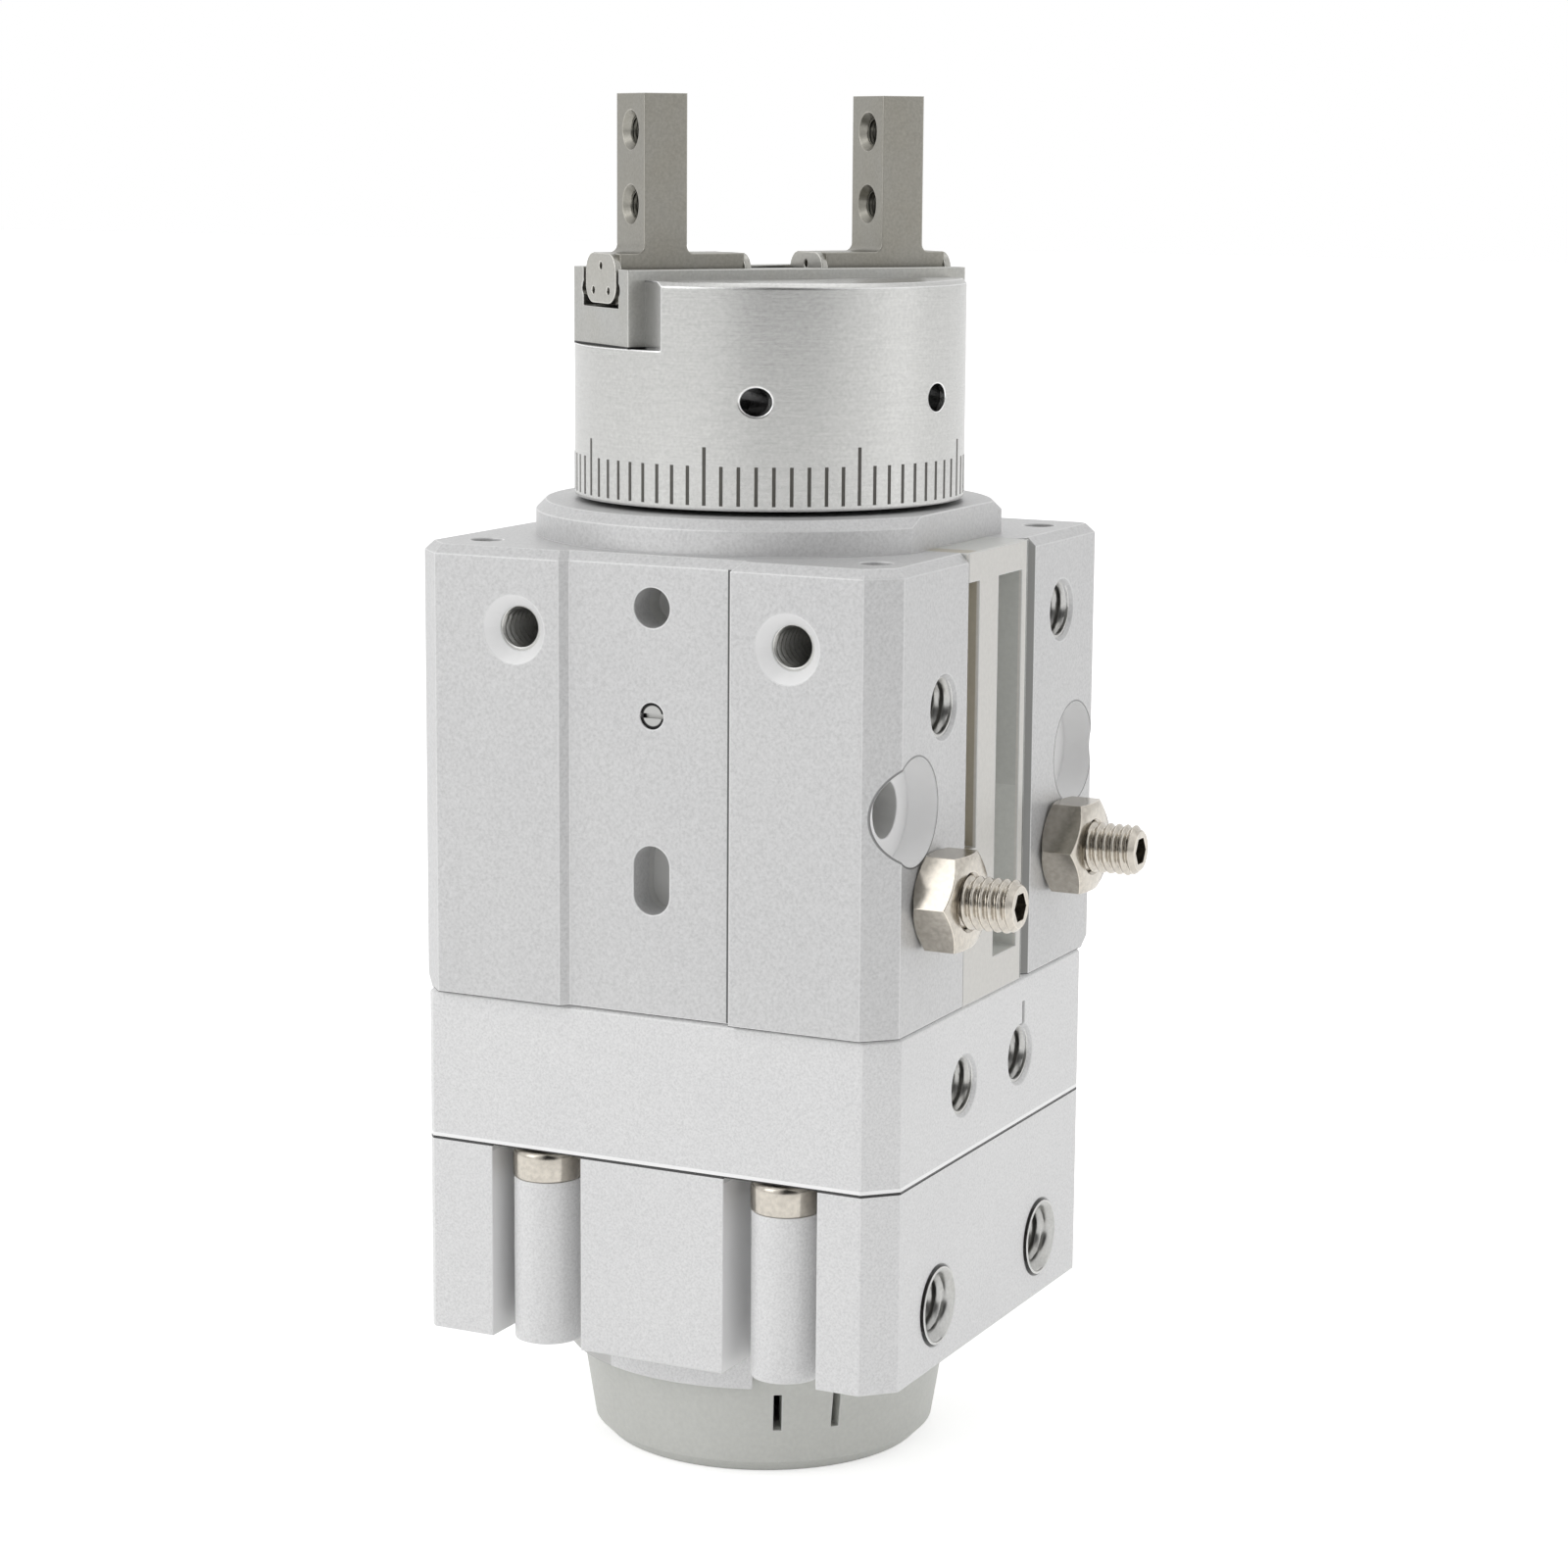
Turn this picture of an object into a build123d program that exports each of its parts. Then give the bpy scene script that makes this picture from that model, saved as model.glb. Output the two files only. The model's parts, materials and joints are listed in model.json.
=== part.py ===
from build123d import *
from math import asin, cos, degrees, radians, sin
import os

# A small rotary gripper: a vane drive in the lower body turns a round head, and an air piston inside
# the head's stem works two bell-crank levers that slide a pair of parallel fingers in a ball guide.
# Millimetres, +Z up along the turning axis, -Y is the front, +X is the side with the switch rail.
# Z = 0 is the underside of the end cap.

# Heights of the stacked bodies
cap_height = 10.3
housing_height = 9.1
housing_cover_height = 6.1
port_block_height = 11.7
upper_body_height = 34.3
bearing_cover_height = 2.65
head_gap = 0.4
head_height = 16.6

# Plan sizes of the body
body_width = 39.0
body_depth = 38.6
corner_chamfer = 2.2
block_rear_chamfer = 1.6
block_left_chamfer = 0.5
upper_rear_chamfer = 1.0
edge_break = 0.3
left_overhang = 0.8
rear_overhang = 0.9
overhang_bevel = 0.8
panel_step = 0.6
panel_gap_left = 6.9
panel_gap_right = 6.7
top_bevel = 0.7

# Fits
running = 0.05
seal_clearance = 0.03
free = 0.3

# Front face: two mounting threads, a locating hole and slot, and a small plug screw
mount_thread_radius = 1.7
mount_thread_sink = 2.6
mount_thread_depth = 7.5
mount_thread_x = 11.3
mount_thread_drop = 6.05
locating_radius = 1.5
locating_depth = 4.0
locating_drop = 3.8
slot_drop = 24.1
slot_height = 5.2
slot_depth = 3.2
plug_drop = 11.8
plug_radius = 1.0
plug_length = 3.0
plug_recess = 0.15
plug_slot_width = 0.35
plug_slot_depth = 0.5

# Right face: cross holes for through bolts, ports and the rail for the switches
cross_hole_radius = 2.15
cross_hole_inset = 3.9
cross_hole_drop = 17.9
cross_sink_radius = 4.0
cross_sink_depth = 2.4
port_radius = 2.1
port_sink = 2.5
port_depth = 6.5
front_port_y = -10.4
front_port_drop = 10.9
rear_port_y = 12.4
rear_port_drop = 6.2
rail_front = 6.2
rail_rear = 5.3
rail_depth = 3.6
rail_clearance = 0.1
rail_edge_bevel = 1.5
narrow_groove_width = 2.0
narrow_groove_depth = 1.2
narrow_groove_bottom = 49.1
wide_groove_width = 4.6
wide_groove_depth = 2.4
wide_groove_bottom = 40.0
groove_top_margin = 2.2
wide_groove_margin = 1.1
top_thread_radius = 1.25
top_thread_depth = 4.0
top_thread_side_inset = 3.3
top_thread_front_inset = 3.9

# Lower ports, block ports and the bolts of the vane housing
block_port_y = 5.5
block_port_rise = 5.5
port_notch_offset = 0.5
port_notch_width = 0.5
port_notch_height = 4.2
port_notch_depth = 1.0
drive_port_y = 10.05
drive_port_rise = 4.7
drive_port_sink = 3.2
drive_port_end = 9.1
channel_inset = 5.7
channel_width = 7.75
channel_depth = 4.6
bolt_off_middle = 0.25
bolt_inset = 2.3
boss_radius = 2.6
bolt_head_radius = 2.7
bolt_head_height = 2.3
bolt_radius = 1.5
bolt_length = 8.0
bolt_socket_depth = 1.3
bolt_socket_flats = 2.5
bolt_head_gap = 0.15
long_bolt_side_inset = 2.9
long_bolt_front_inset = 5.4
long_bolt_radius = 1.25
long_bolt_clearance = 0.1
long_bolt_head_radius = 2.25
long_bolt_head_height = 2.5
long_bolt_bite = 5.8
long_bolt_socket_flats = 2.0

# Vane drive
chamber_radius = 13.0
chamber_floor = 2.2
chamber_roof = 2.7
shaft_radius = 4.0
hub_radius = 5.5
vane_thickness = 2.6
vane_frame = 0.75
vane_clearance = 0.15
shoe_half_width = 4.2
bush_wall = 1.5
spigot_radius = 11.5
spigot_depth = 3.8
shaft_tail = 2.8
drive_square = 5.6
shaft_seal_section = 0.9
lower_shaft_seal_rise = 2.6
upper_shaft_seal_rise = 8.8
vane_root = 2.6
lip_thickness = 0.6
lip_height = 2.7
lip_start = -150.0
lip_end = 23.0
pilot_height = 5.4
pilot_clearance = 0.1

# End cap
cap_top_radius = 15.0
cap_bottom_radius = 13.5
cap_floor = 2.0
cap_wall = 2.0
cap_edge = 1.0
tab_slot_width = 0.65
tab_slot_height = 3.0
tab_slot_base = 3.7
tab_middle = 40.0
tab_half_angle = 9.4
tab_slot_depth = 3.8

# Stop arm and its two adjusting screws
arm_cavity_wall = 0.9
arm_cavity_height = 13.0
arm_thickness = 5.6
arm_half_width = 5.5
arm_end_gap = 1.4
arm_hub_radius = 8.0
arm_drop = 0.7
arm_screw_radius = 1.5
arm_screw_length = 4.6
adjust_radius = 2.0
adjust_inset = 1.3
adjust_reach = 7.1
adjust_chamfer = 0.45
adjust_socket_flats = 2.0
adjust_socket_depth = 2.2
nut_flats = 7.0
nut_height = 3.2

# Head bearing, bush and the stem with its air grooves and seals
stem_radius = 9.95
bearing_height = 4.0
bearing_inner_outer = 11.15
bearing_outer_inner = 12.45
bearing_seat_radius = 13.5
ball_circle = 11.8
bearing_ball_radius = 1.05
bearing_ball_count = 9
race_clearance = 0.08
shoulder_radius = 11.15
retainer_inset = 1.5
retainer_bore = 12.0
retainer_bevel = 0.75
stem_bush_height = 4.9
stem_gap = 0.4
seal_section = 1.0
lower_seal_drop = 1.6
upper_seal_rise = 1.25
seal_groove_height = 1.1
air_groove_depth = 0.7
air_groove_height = 0.8
air_hole_radius = 0.6

# Piston and rod in the stem
piston_bore = 5.0
bore_depth = 19.9
piston_length = 6.3
piston_top_gap = 1.7
piston_cap_radius = 7.0
piston_cap_height = 4.0
piston_socket_depth = 2.0
piston_seal_section = 1.2
magnet_height = 2.0
magnet_inner_radius = 3.2
rod_radius = 2.0
rod_thread_radius = 1.5
rod_nut_flats = 5.5
rod_nut_height = 2.0
rod_shoulder_rise = 3.0
piston_seal_rise = 1.3
magnet_rise = 3.2
magnet_recess = 0.1
air_riser_radius = 7.5
gland_seal_section = 1.2
gland_seal_rise = 2.0

# Head, guide, levers and fingers, in the head's own turned frame
head_turn = 52.5
head_radius = 15.0
head_bevel = 0.35
head_flat = 12.8
guide_length = 28.4
guide_width = 10.0
guide_rise = 0.75
guide_seat_drop = 5.05
guide_channel_width = 6.6
guide_channel_depth = 2.9
guide_screw_x = 11.2
guide_screw_radius = 0.8
guide_screw_head = 1.45
guide_screw_length = 5.5
screw_head_recess = 0.1
pivot_x = 7.5
pivot_rise = 8.0
pivot_pin_radius = 1.05
pivot_pin_length = 20.0
lever_thickness = 3.0
lever_side_gap = 0.1
lever_upper_arm = 7.75
lever_inner_arm = 4.9
lever_tip_radius = 1.25
lever_toe_radius = 1.0
lever_hub_radius = 2.2
lever_neck = 0.9
lever_play = 0.05
lever_window = 2.1
lever_pocket_depth = 2.3
finger_travel = 2.0
spool_neck_radius = 1.45
spool_radius = 3.3
spool_flange = 1.2
spool_bore = 3.6
finger_inner = 8.25
finger_width = 3.5
finger_depth = 5.0
finger_height = 11.8
finger_root_fillet = 0.6
finger_thread_radius = 1.05
finger_thread_sink = 1.5
finger_thread_tip = 2.7
finger_thread_pitch = 5.5
slide_inner = 3.5
slide_length = 10.2
slide_lift = 0.3
slide_over_guide = 1.1
end_plate_thickness = 0.5
end_plate_width = 5.5
end_plate_corner = 1.4
end_plate_hole = 0.3
guide_ball_radius = 0.6
guide_ball_pitch = 2.9
guide_ball_count = 3
guide_ball_drop = 1.55
raceway_clearance = 0.05

# Levels that follow from the stack
z_housing = cap_height
z_cover = z_housing + housing_height
z_block = z_cover + housing_cover_height
z_upper = z_block + port_block_height
z_top = z_upper + upper_body_height
z_head = z_top + bearing_cover_height + head_gap
z_head_top = z_head + head_height
z_chamber = z_housing + chamber_floor
z_chamber_top = z_block - chamber_roof
z_bolt_seat = z_block - bolt_head_gap - bolt_head_height
z_cavity_top = z_upper + arm_cavity_height
z_arm = z_cavity_top - arm_drop - arm_thickness
z_adjust = z_arm + arm_thickness / 2
z_stem = z_cavity_top + stem_gap
z_bearing = z_top - bearing_height
z_seat = z_head_top - guide_seat_drop
z_guide_top = z_head_top + guide_rise
z_channel = z_guide_top - guide_channel_depth
z_slide = z_channel + slide_lift
z_slide_top = z_guide_top + slide_over_guide
z_finger_top = z_slide_top + finger_height
z_pivot = z_head + pivot_rise
z_guide_ball = z_guide_top - guide_ball_drop

# Half sizes, faces and angles that follow
half_width = body_width / 2
half_depth = body_depth / 2
rear_face = half_depth + rear_overhang
left_face = half_width + left_overhang
panel_face = half_depth + panel_step
rail_back = half_width - rail_depth
retainer_radius = half_width - retainer_inset
arm_cavity_radius = rail_back - arm_cavity_wall
arm_reach = arm_cavity_radius - arm_end_gap
adjust_y = arm_reach - adjust_inset
cross_hole_y = half_depth - cross_hole_inset
channel_x = half_width - channel_inset - channel_width / 2
channel_y = half_depth - channel_depth / 2
bolt_x = channel_x + bolt_off_middle
bolt_y = half_depth - bolt_inset
top_threads = (half_width - top_thread_side_inset, half_depth - top_thread_front_inset)
long_bolts = (half_width - long_bolt_side_inset, half_depth - long_bolt_front_inset)
lever_tilt = degrees(asin(finger_travel / 2 / lever_upper_arm))
spool_rise = lever_inner_arm * sin(radians(lever_tilt))
piston_stroke = 2 * spool_rise
z_spool = z_pivot + spool_rise
z_bore_roof = z_stem + bore_depth
z_piston = z_bore_roof - piston_top_gap - piston_length
z_piston_cap = z_stem + piston_cap_height
z_front_port = z_top - front_port_drop
z_gland_seal = z_bore_roof + gland_seal_rise
z_rod_shoulder = z_piston + rod_shoulder_rise
z_piston_seal = z_piston + piston_seal_rise
z_magnet = z_piston + magnet_rise
shaft_seal_levels = (z_block + lower_shaft_seal_rise, z_block + upper_shaft_seal_rise)
z_rear_port = z_top - rear_port_drop
stem_bore = stem_radius + 2 * running
spool_half_groove = lever_toe_radius + lever_play
spool_half_height = spool_half_groove + spool_flange
ball_track = (finger_depth + guide_channel_width) / 4
finger_middle = finger_inner + finger_width / 2
bush_radius = shaft_radius + running + bush_wall
stem_bush_radius = stem_radius + running + bush_wall

# Frames: the head is turned about the axis, and the stop arm and the vane stand square to it
turn = radians(head_turn)
head_x = Vector(cos(turn), sin(turn), 0)
head_y = Vector(-sin(turn), cos(turn), 0)
head_frame = Plane(origin=(0, 0, 0), x_dir=head_x, z_dir=(0, 0, 1))
head_section = Plane(origin=(0, 0, 0), x_dir=head_x, z_dir=-head_y)
arm_frame = Plane(origin=(0, 0, 0), x_dir=head_y, z_dir=(0, 0, 1))
arm_section = Plane(origin=(0, 0, 0), x_dir=head_y, z_dir=head_x)


def front_spot(x, z, y=None):
    """A plane on the front face, looking out along -Y"""
    return Plane(origin=(x, -half_depth if y is None else y, z), x_dir=(1, 0, 0), z_dir=(0, -1, 0))


def side_spot(y, z, x=None):
    """A plane on the right face, looking out along +X"""
    return Plane(origin=(half_width if x is None else x, y, z), x_dir=(0, 1, 0), z_dir=(1, 0, 0))


def head_end(x, z=0.0):
    """A plane square to the finger travel, at a distance along it"""
    return Plane(origin=head_x * x + Vector(0, 0, z), x_dir=head_y, z_dir=head_x)


def four(x, y):
    """The four corners of a rectangle about the axis"""
    return [(i * x, j * y) for i in (-1, 1) for j in (-1, 1)]


def bevel_corner(x, y, length):
    """Bevel the corner of the sketch in hand that lies at a point"""
    chamfer(vertices().sort_by_distance((x, y, 0))[0], length=length)


def block_outline():
    """Plan of the middle and lower bodies, bevelled most at the front right corner"""
    with Locations((0, 0)):
        Rectangle(body_width, body_depth)
    bevel_corner(half_width, -half_depth, corner_chamfer)
    bevel_corner(half_width, half_depth, block_rear_chamfer)
    bevel_corner(-half_width, half_depth, block_left_chamfer)
    bevel_corner(-half_width, -half_depth, block_left_chamfer)


def bolt_channels(mode):
    """Plan of the four upright channels in the front and rear of the vane housing"""
    with Locations(*four(channel_x, channel_y)):
        Rectangle(channel_width, channel_depth, mode=mode)


def housing_outline():
    """Plan of the vane housing: the block with four channels and a round-fronted boss in each"""
    block_outline()
    bolt_channels(Mode.SUBTRACT)
    with Locations(*four(bolt_x, bolt_y)):
        Circle(boss_radius)
    boss_root = channel_depth - bolt_inset
    with Locations(*four(bolt_x, bolt_y - boss_root / 2)):
        Rectangle(2 * boss_radius, boss_root)


# Lower half of the vane housing
with BuildPart() as vane_housing:
    with BuildSketch(Plane.XY.offset(z_housing)):
        housing_outline()
    extrude(amount=housing_height)
    with BuildSketch(Plane.XY.offset(z_housing - spigot_depth)):
        Circle(spigot_radius)
    extrude(amount=spigot_depth)
    with BuildSketch(Plane.XY.offset(z_housing - lip_height)):
        Circle(cap_top_radius + lip_thickness + running)
        Circle(cap_top_radius + running, mode=Mode.SUBTRACT)
        with BuildLine():
            reach = 4 * cap_top_radius
            start = Vector(reach, 0).rotate(Axis.Z, lip_start - 90)
            middle = Vector(reach, 0).rotate(Axis.Z, (lip_start + lip_end) / 2 - 90)
            end = Vector(reach, 0).rotate(Axis.Z, lip_end - 90)
            Polyline((0, 0), (start.X, start.Y), (middle.X, middle.Y), (end.X, end.Y), close=True)
        make_face(mode=Mode.INTERSECT)
    extrude(amount=lip_height)
    with BuildSketch(Plane.XY.offset(z_chamber)):
        Circle(chamber_radius)
    extrude(amount=housing_height, mode=Mode.SUBTRACT)
    with BuildSketch(Plane.XY.offset(z_housing - spigot_depth)):
        Circle(bush_radius)
    extrude(amount=spigot_depth + chamber_floor, mode=Mode.SUBTRACT)
    drive_port_z = z_housing + drive_port_rise
    with Locations(*[side_spot(side * drive_port_y, drive_port_z) for side in (-1, 1)]):
        CounterSinkHole(port_radius, drive_port_sink, half_width - drive_port_end)
    with BuildSketch(Plane.XY.offset(z_cover)):
        with Locations(*four(bolt_x, bolt_y)):
            Circle(bolt_radius)
    extrude(amount=-(bolt_length - (z_bolt_seat - z_cover)), mode=Mode.SUBTRACT)
    with BuildSketch(Plane.XY.offset(z_housing)):
        with Locations(*four(*long_bolts)):
            Circle(long_bolt_radius + long_bolt_clearance)
    extrude(amount=housing_height, mode=Mode.SUBTRACT)
    with BuildSketch(Plane.XY.offset(z_housing)):
        with Locations(*four(*long_bolts)):
            Circle(long_bolt_head_radius + long_bolt_clearance)
    extrude(amount=long_bolt_head_height, mode=Mode.SUBTRACT)

# Upper half of the vane housing, whose bosses seat the bolt heads
with BuildPart() as vane_cover:
    with BuildSketch(Plane.XY.offset(z_cover)):
        housing_outline()
    extrude(amount=housing_cover_height)
    with BuildSketch(Plane.XY.offset(z_cover)):
        Circle(chamber_radius)
    extrude(amount=z_chamber_top - z_cover, mode=Mode.SUBTRACT)
    with BuildSketch(Plane.XY.offset(z_chamber_top)):
        Circle(bush_radius)
    extrude(amount=chamber_roof, mode=Mode.SUBTRACT)
    with BuildSketch(Plane.XY.offset(z_bolt_seat)):
        bolt_channels(Mode.ADD)
        with Locations(*four(bolt_x, bolt_y)):
            Circle(bolt_head_radius + free)
    extrude(amount=z_block - z_bolt_seat, mode=Mode.SUBTRACT)
    with BuildSketch(Plane.XY.offset(z_cover)):
        with Locations(*four(bolt_x, bolt_y)):
            Circle(bolt_radius)
        with Locations(*four(*long_bolts)):
            Circle(long_bolt_radius + long_bolt_clearance)
    extrude(amount=housing_cover_height, mode=Mode.SUBTRACT)

# Middle block with two ports and a pilot that centres the upper body
block_port_z = z_block + block_port_rise
with BuildPart() as port_block:
    with BuildSketch(Plane.XY.offset(z_block)):
        block_outline()
    extrude(amount=port_block_height)
    chamfer(port_block.faces().sort_by(Axis.Z)[-1].edges(), length=edge_break)
    with BuildSketch(Plane.XY.offset(z_upper)):
        Circle(arm_cavity_radius - pilot_clearance)
    extrude(amount=pilot_height)
    with BuildSketch(Plane.XY.offset(z_block)):
        Circle(shaft_radius + free)
        with Locations(*four(*long_bolts)):
            Circle(long_bolt_radius + long_bolt_clearance)
    extrude(amount=port_block_height + pilot_height, mode=Mode.SUBTRACT)
    with BuildSketch(Plane.XZ):
        with Locations(*[(shaft_radius + free, z) for z in shaft_seal_levels]):
            Rectangle(2 * (shaft_seal_section + seal_clearance - free), shaft_seal_section)
    revolve(axis=Axis.Z, mode=Mode.SUBTRACT)
    with Locations(*[side_spot(side * block_port_y, block_port_z) for side in (-1, 1)]):
        CounterSinkHole(port_radius, port_sink, port_depth)
    with BuildSketch(side_spot(block_port_y + port_notch_offset, block_port_z)):
        with Locations((0, port_notch_height / 2)):
            Rectangle(port_notch_width, port_notch_height)
    extrude(amount=-port_notch_depth, mode=Mode.SUBTRACT)

# Upper body: two raised front panels, overhangs at the left and the rear, bores for arm, stem and bearing
with BuildPart() as upper_body:
    with BuildSketch(Plane.XY.offset(z_upper)):
        with BuildLine():
            Polyline(
                (-left_face, -panel_face),
                (-panel_gap_left - panel_step, -panel_face),
                (-panel_gap_left, -half_depth),
                (panel_gap_right, -half_depth),
                (panel_gap_right, -panel_face),
                (half_width, -panel_face),
                (half_width, rear_face),
                (-left_face, rear_face),
                close=True,
            )
        make_face()
        bevel_corner(-left_face, -panel_face, corner_chamfer)
        bevel_corner(half_width, -panel_face, corner_chamfer)
        bevel_corner(half_width, rear_face, upper_rear_chamfer)
        bevel_corner(-left_face, rear_face, upper_rear_chamfer)
    extrude(amount=upper_body_height)
    chamfer(upper_body.faces().sort_by(Axis.Z)[-1].edges(), length=top_bevel)
    under = upper_body.faces().sort_by(Axis.Z)[0].edges()
    overhanging = [e for e in under if e.center().X < -half_width or e.center().Y > half_depth]
    chamfer(overhanging, length=overhang_bevel)
    for radius, low, high in (
        (arm_cavity_radius, z_upper, z_cavity_top),
        (stem_bush_radius, z_cavity_top, z_cavity_top + stem_bush_height),
        (stem_bore, z_cavity_top, z_top),
        (bearing_seat_radius, z_bearing, z_top),
    ):
        with BuildSketch(Plane.XY.offset(low)):
            Circle(radius)
        extrude(amount=high - low, mode=Mode.SUBTRACT)
    mount_z = z_top - mount_thread_drop
    with Locations(*[front_spot(i * mount_thread_x, mount_z, -panel_face) for i in (-1, 1)]):
        CounterSinkHole(mount_thread_radius, mount_thread_sink, mount_thread_depth)
    with Locations(front_spot(0, z_top - locating_drop)):
        Hole(locating_radius, locating_depth)
    with Locations(front_spot(0, z_top - plug_drop)):
        Hole(plug_radius, plug_length)
    with BuildSketch(front_spot(0, z_top - slot_drop)):
        SlotOverall(slot_height, 2 * locating_radius, rotation=90)
    extrude(amount=-slot_depth, mode=Mode.SUBTRACT)
    with Locations(*[side_spot(i * cross_hole_y, z_top - cross_hole_drop) for i in (-1, 1)]):
        CounterBoreHole(cross_hole_radius, cross_sink_radius, cross_sink_depth)
    for y, z in ((front_port_y, z_front_port), (rear_port_y, z_rear_port)):
        with Locations(side_spot(y, z)):
            CounterSinkHole(port_radius, port_sink, port_depth)
        inner_end = Vector(half_width - port_depth, y, 0)
        with BuildSketch(Plane(origin=(0, 0, z), x_dir=(0, 0, 1), z_dir=inner_end)):
            Circle(air_hole_radius)
        extrude(amount=inner_end.length, mode=Mode.SUBTRACT)
    with Locations(*[side_spot(i * adjust_y, z_adjust) for i in (-1, 1)]):
        Hole(adjust_radius + running, half_width - arm_half_width)
    with BuildSketch(Plane.XY.offset(z_upper)):
        with BuildLine():
            Polyline(
                (rail_back, -rail_front),
                (half_width, -rail_front),
                (half_width, rail_rear + rail_edge_bevel),
                (half_width - rail_edge_bevel, rail_rear),
                (rail_back, rail_rear),
                close=True,
            )
        make_face()
    extrude(amount=upper_body_height, mode=Mode.SUBTRACT)
    with BuildSketch(Plane.XY.offset(z_top)):
        with Locations(*four(*top_threads)):
            Circle(top_thread_radius)
    extrude(amount=-top_thread_depth, mode=Mode.SUBTRACT)
    with BuildSketch(Plane.XY.offset(z_upper)):
        with Locations(*four(*long_bolts)):
            Circle(long_bolt_radius)
    extrude(amount=long_bolt_bite + free, mode=Mode.SUBTRACT)

# Retainer ring for the head bearing, flattened beside the switch rail
with BuildPart() as bearing_cover:
    with BuildSketch(Plane.XY.offset(z_top)):
        Circle(retainer_radius)
        Circle(retainer_bore, mode=Mode.SUBTRACT)
    extrude(amount=bearing_cover_height)
    chamfer(bearing_cover.edges().filter_by(GeomType.CIRCLE).group_by(Axis.Z)[-1].sort_by(SortBy.RADIUS)[-1],
            length=retainer_bevel)
    with BuildSketch(Plane.XY.offset(z_top)):
        with Locations((rail_back + retainer_radius, 0)):
            Rectangle(2 * retainer_radius, 2 * retainer_radius)
    extrude(amount=bearing_cover_height, mode=Mode.SUBTRACT)

# Plastic rail with a narrow and a wide groove for the position switches
with BuildPart() as switch_rail:
    rail_low = -rail_front + rail_clearance
    rail_high = rail_rear - rail_clearance
    with BuildSketch(Plane.XY.offset(z_upper)):
        with Locations(((rail_back + half_width) / 2, (rail_low + rail_high) / 2)):
            Rectangle(rail_depth, rail_high - rail_low)
    extrude(amount=upper_body_height)
    groove_top = z_top - groove_top_margin
    for low_side, width, depth, bottom in (
        (rail_low, narrow_groove_width, narrow_groove_depth, narrow_groove_bottom),
        (
            rail_high - wide_groove_margin - wide_groove_width,
            wide_groove_width,
            wide_groove_depth,
            wide_groove_bottom,
        ),
    ):
        with BuildSketch(side_spot(0, 0)):
            with Locations((low_side + width / 2, (bottom + groove_top) / 2)):
                Rectangle(width, groove_top - bottom)
        extrude(amount=-depth, mode=Mode.SUBTRACT)

# Moulded end cap, with a snap tab between two slots at the front right and another opposite
with BuildPart() as end_cap:
    with BuildSketch(Plane.XZ):
        with BuildLine():
            Polyline(
                (0, 0),
                (cap_bottom_radius - cap_edge, 0),
                (cap_bottom_radius, cap_edge),
                (cap_top_radius, z_housing),
                (spigot_radius + running, z_housing),
                (spigot_radius + running, z_housing - spigot_depth),
                (cap_bottom_radius - cap_wall, z_housing - spigot_depth),
                (cap_bottom_radius - cap_wall, cap_floor),
                (0, cap_floor),
                close=True,
            )
        make_face()
    revolve(axis=Axis.Z)
    tab_middles = (tab_middle - 90, tab_middle + 90)
    tab_angles = [turned + side * tab_half_angle for turned in tab_middles for side in (-1, 1)]
    with BuildSketch(Plane.XY.offset(tab_slot_base)):
        with PolarLocations(0, 1):
            for angle in tab_angles:
                spot = Vector(cap_top_radius, 0).rotate(Axis.Z, angle)
                with Locations(Location((spot.X, spot.Y, 0), (0, 0, angle))):
                    Rectangle(tab_slot_depth * 2, tab_slot_width)
    extrude(amount=tab_slot_height, mode=Mode.SUBTRACT)


def socket_screws(spots, seat, radius, length, head_radius, head_height, flats, socket_depth, way):
    """Socket head screws on one level: head above the seat for way 1, below it for way -1"""
    with BuildPart() as screws:
        with BuildSketch(Plane.XY.offset(seat)):
            with Locations(*spots):
                Circle(head_radius)
        extrude(amount=way * head_height)
        with BuildSketch(Plane.XY.offset(seat)):
            with Locations(*spots):
                Circle(radius)
        extrude(amount=-way * length)
        with BuildSketch(Plane.XY.offset(seat + way * head_height)):
            with Locations(*spots):
                RegularPolygon(flats / 2, 6, major_radius=False)
        extrude(amount=-way * socket_depth, mode=Mode.SUBTRACT)
    return screws


housing_bolts = socket_screws(
    four(bolt_x, bolt_y), z_bolt_seat, bolt_radius, bolt_length,
    bolt_head_radius, bolt_head_height, bolt_socket_flats, bolt_socket_depth, 1,
)
body_bolts = socket_screws(
    four(*long_bolts), z_housing + long_bolt_head_height, long_bolt_radius,
    z_upper + long_bolt_bite - z_housing - long_bolt_head_height,
    long_bolt_head_radius, long_bolt_head_height, long_bolt_socket_flats, bolt_socket_depth, -1,
)


def bush(inner, outer, low, height):
    """A plain bearing bush"""
    with BuildPart() as piece:
        with BuildSketch(Plane.XY.offset(low)):
            Circle(outer)
            Circle(inner, mode=Mode.SUBTRACT)
        extrude(amount=height)
    return piece


lower_bush = bush(shaft_radius + running, bush_radius, z_housing - spigot_depth, spigot_depth + chamber_floor)
upper_bush = bush(shaft_radius + running, bush_radius, z_chamber_top, chamber_roof)
stem_bush = bush(stem_radius + running, stem_bush_radius, z_cavity_top, stem_bush_height)

# Fixed shoe that parts the vane chamber between its two ports
with BuildPart() as vane_stopper:
    with BuildSketch(Plane.XY.offset(z_chamber)):
        Circle(chamber_radius)
        with Locations((chamber_radius, 0)):
            Rectangle(2 * chamber_radius, 2 * shoe_half_width, mode=Mode.INTERSECT)
        Circle(hub_radius + 2 * running, mode=Mode.SUBTRACT)
    extrude(amount=z_chamber_top - z_chamber)


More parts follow.
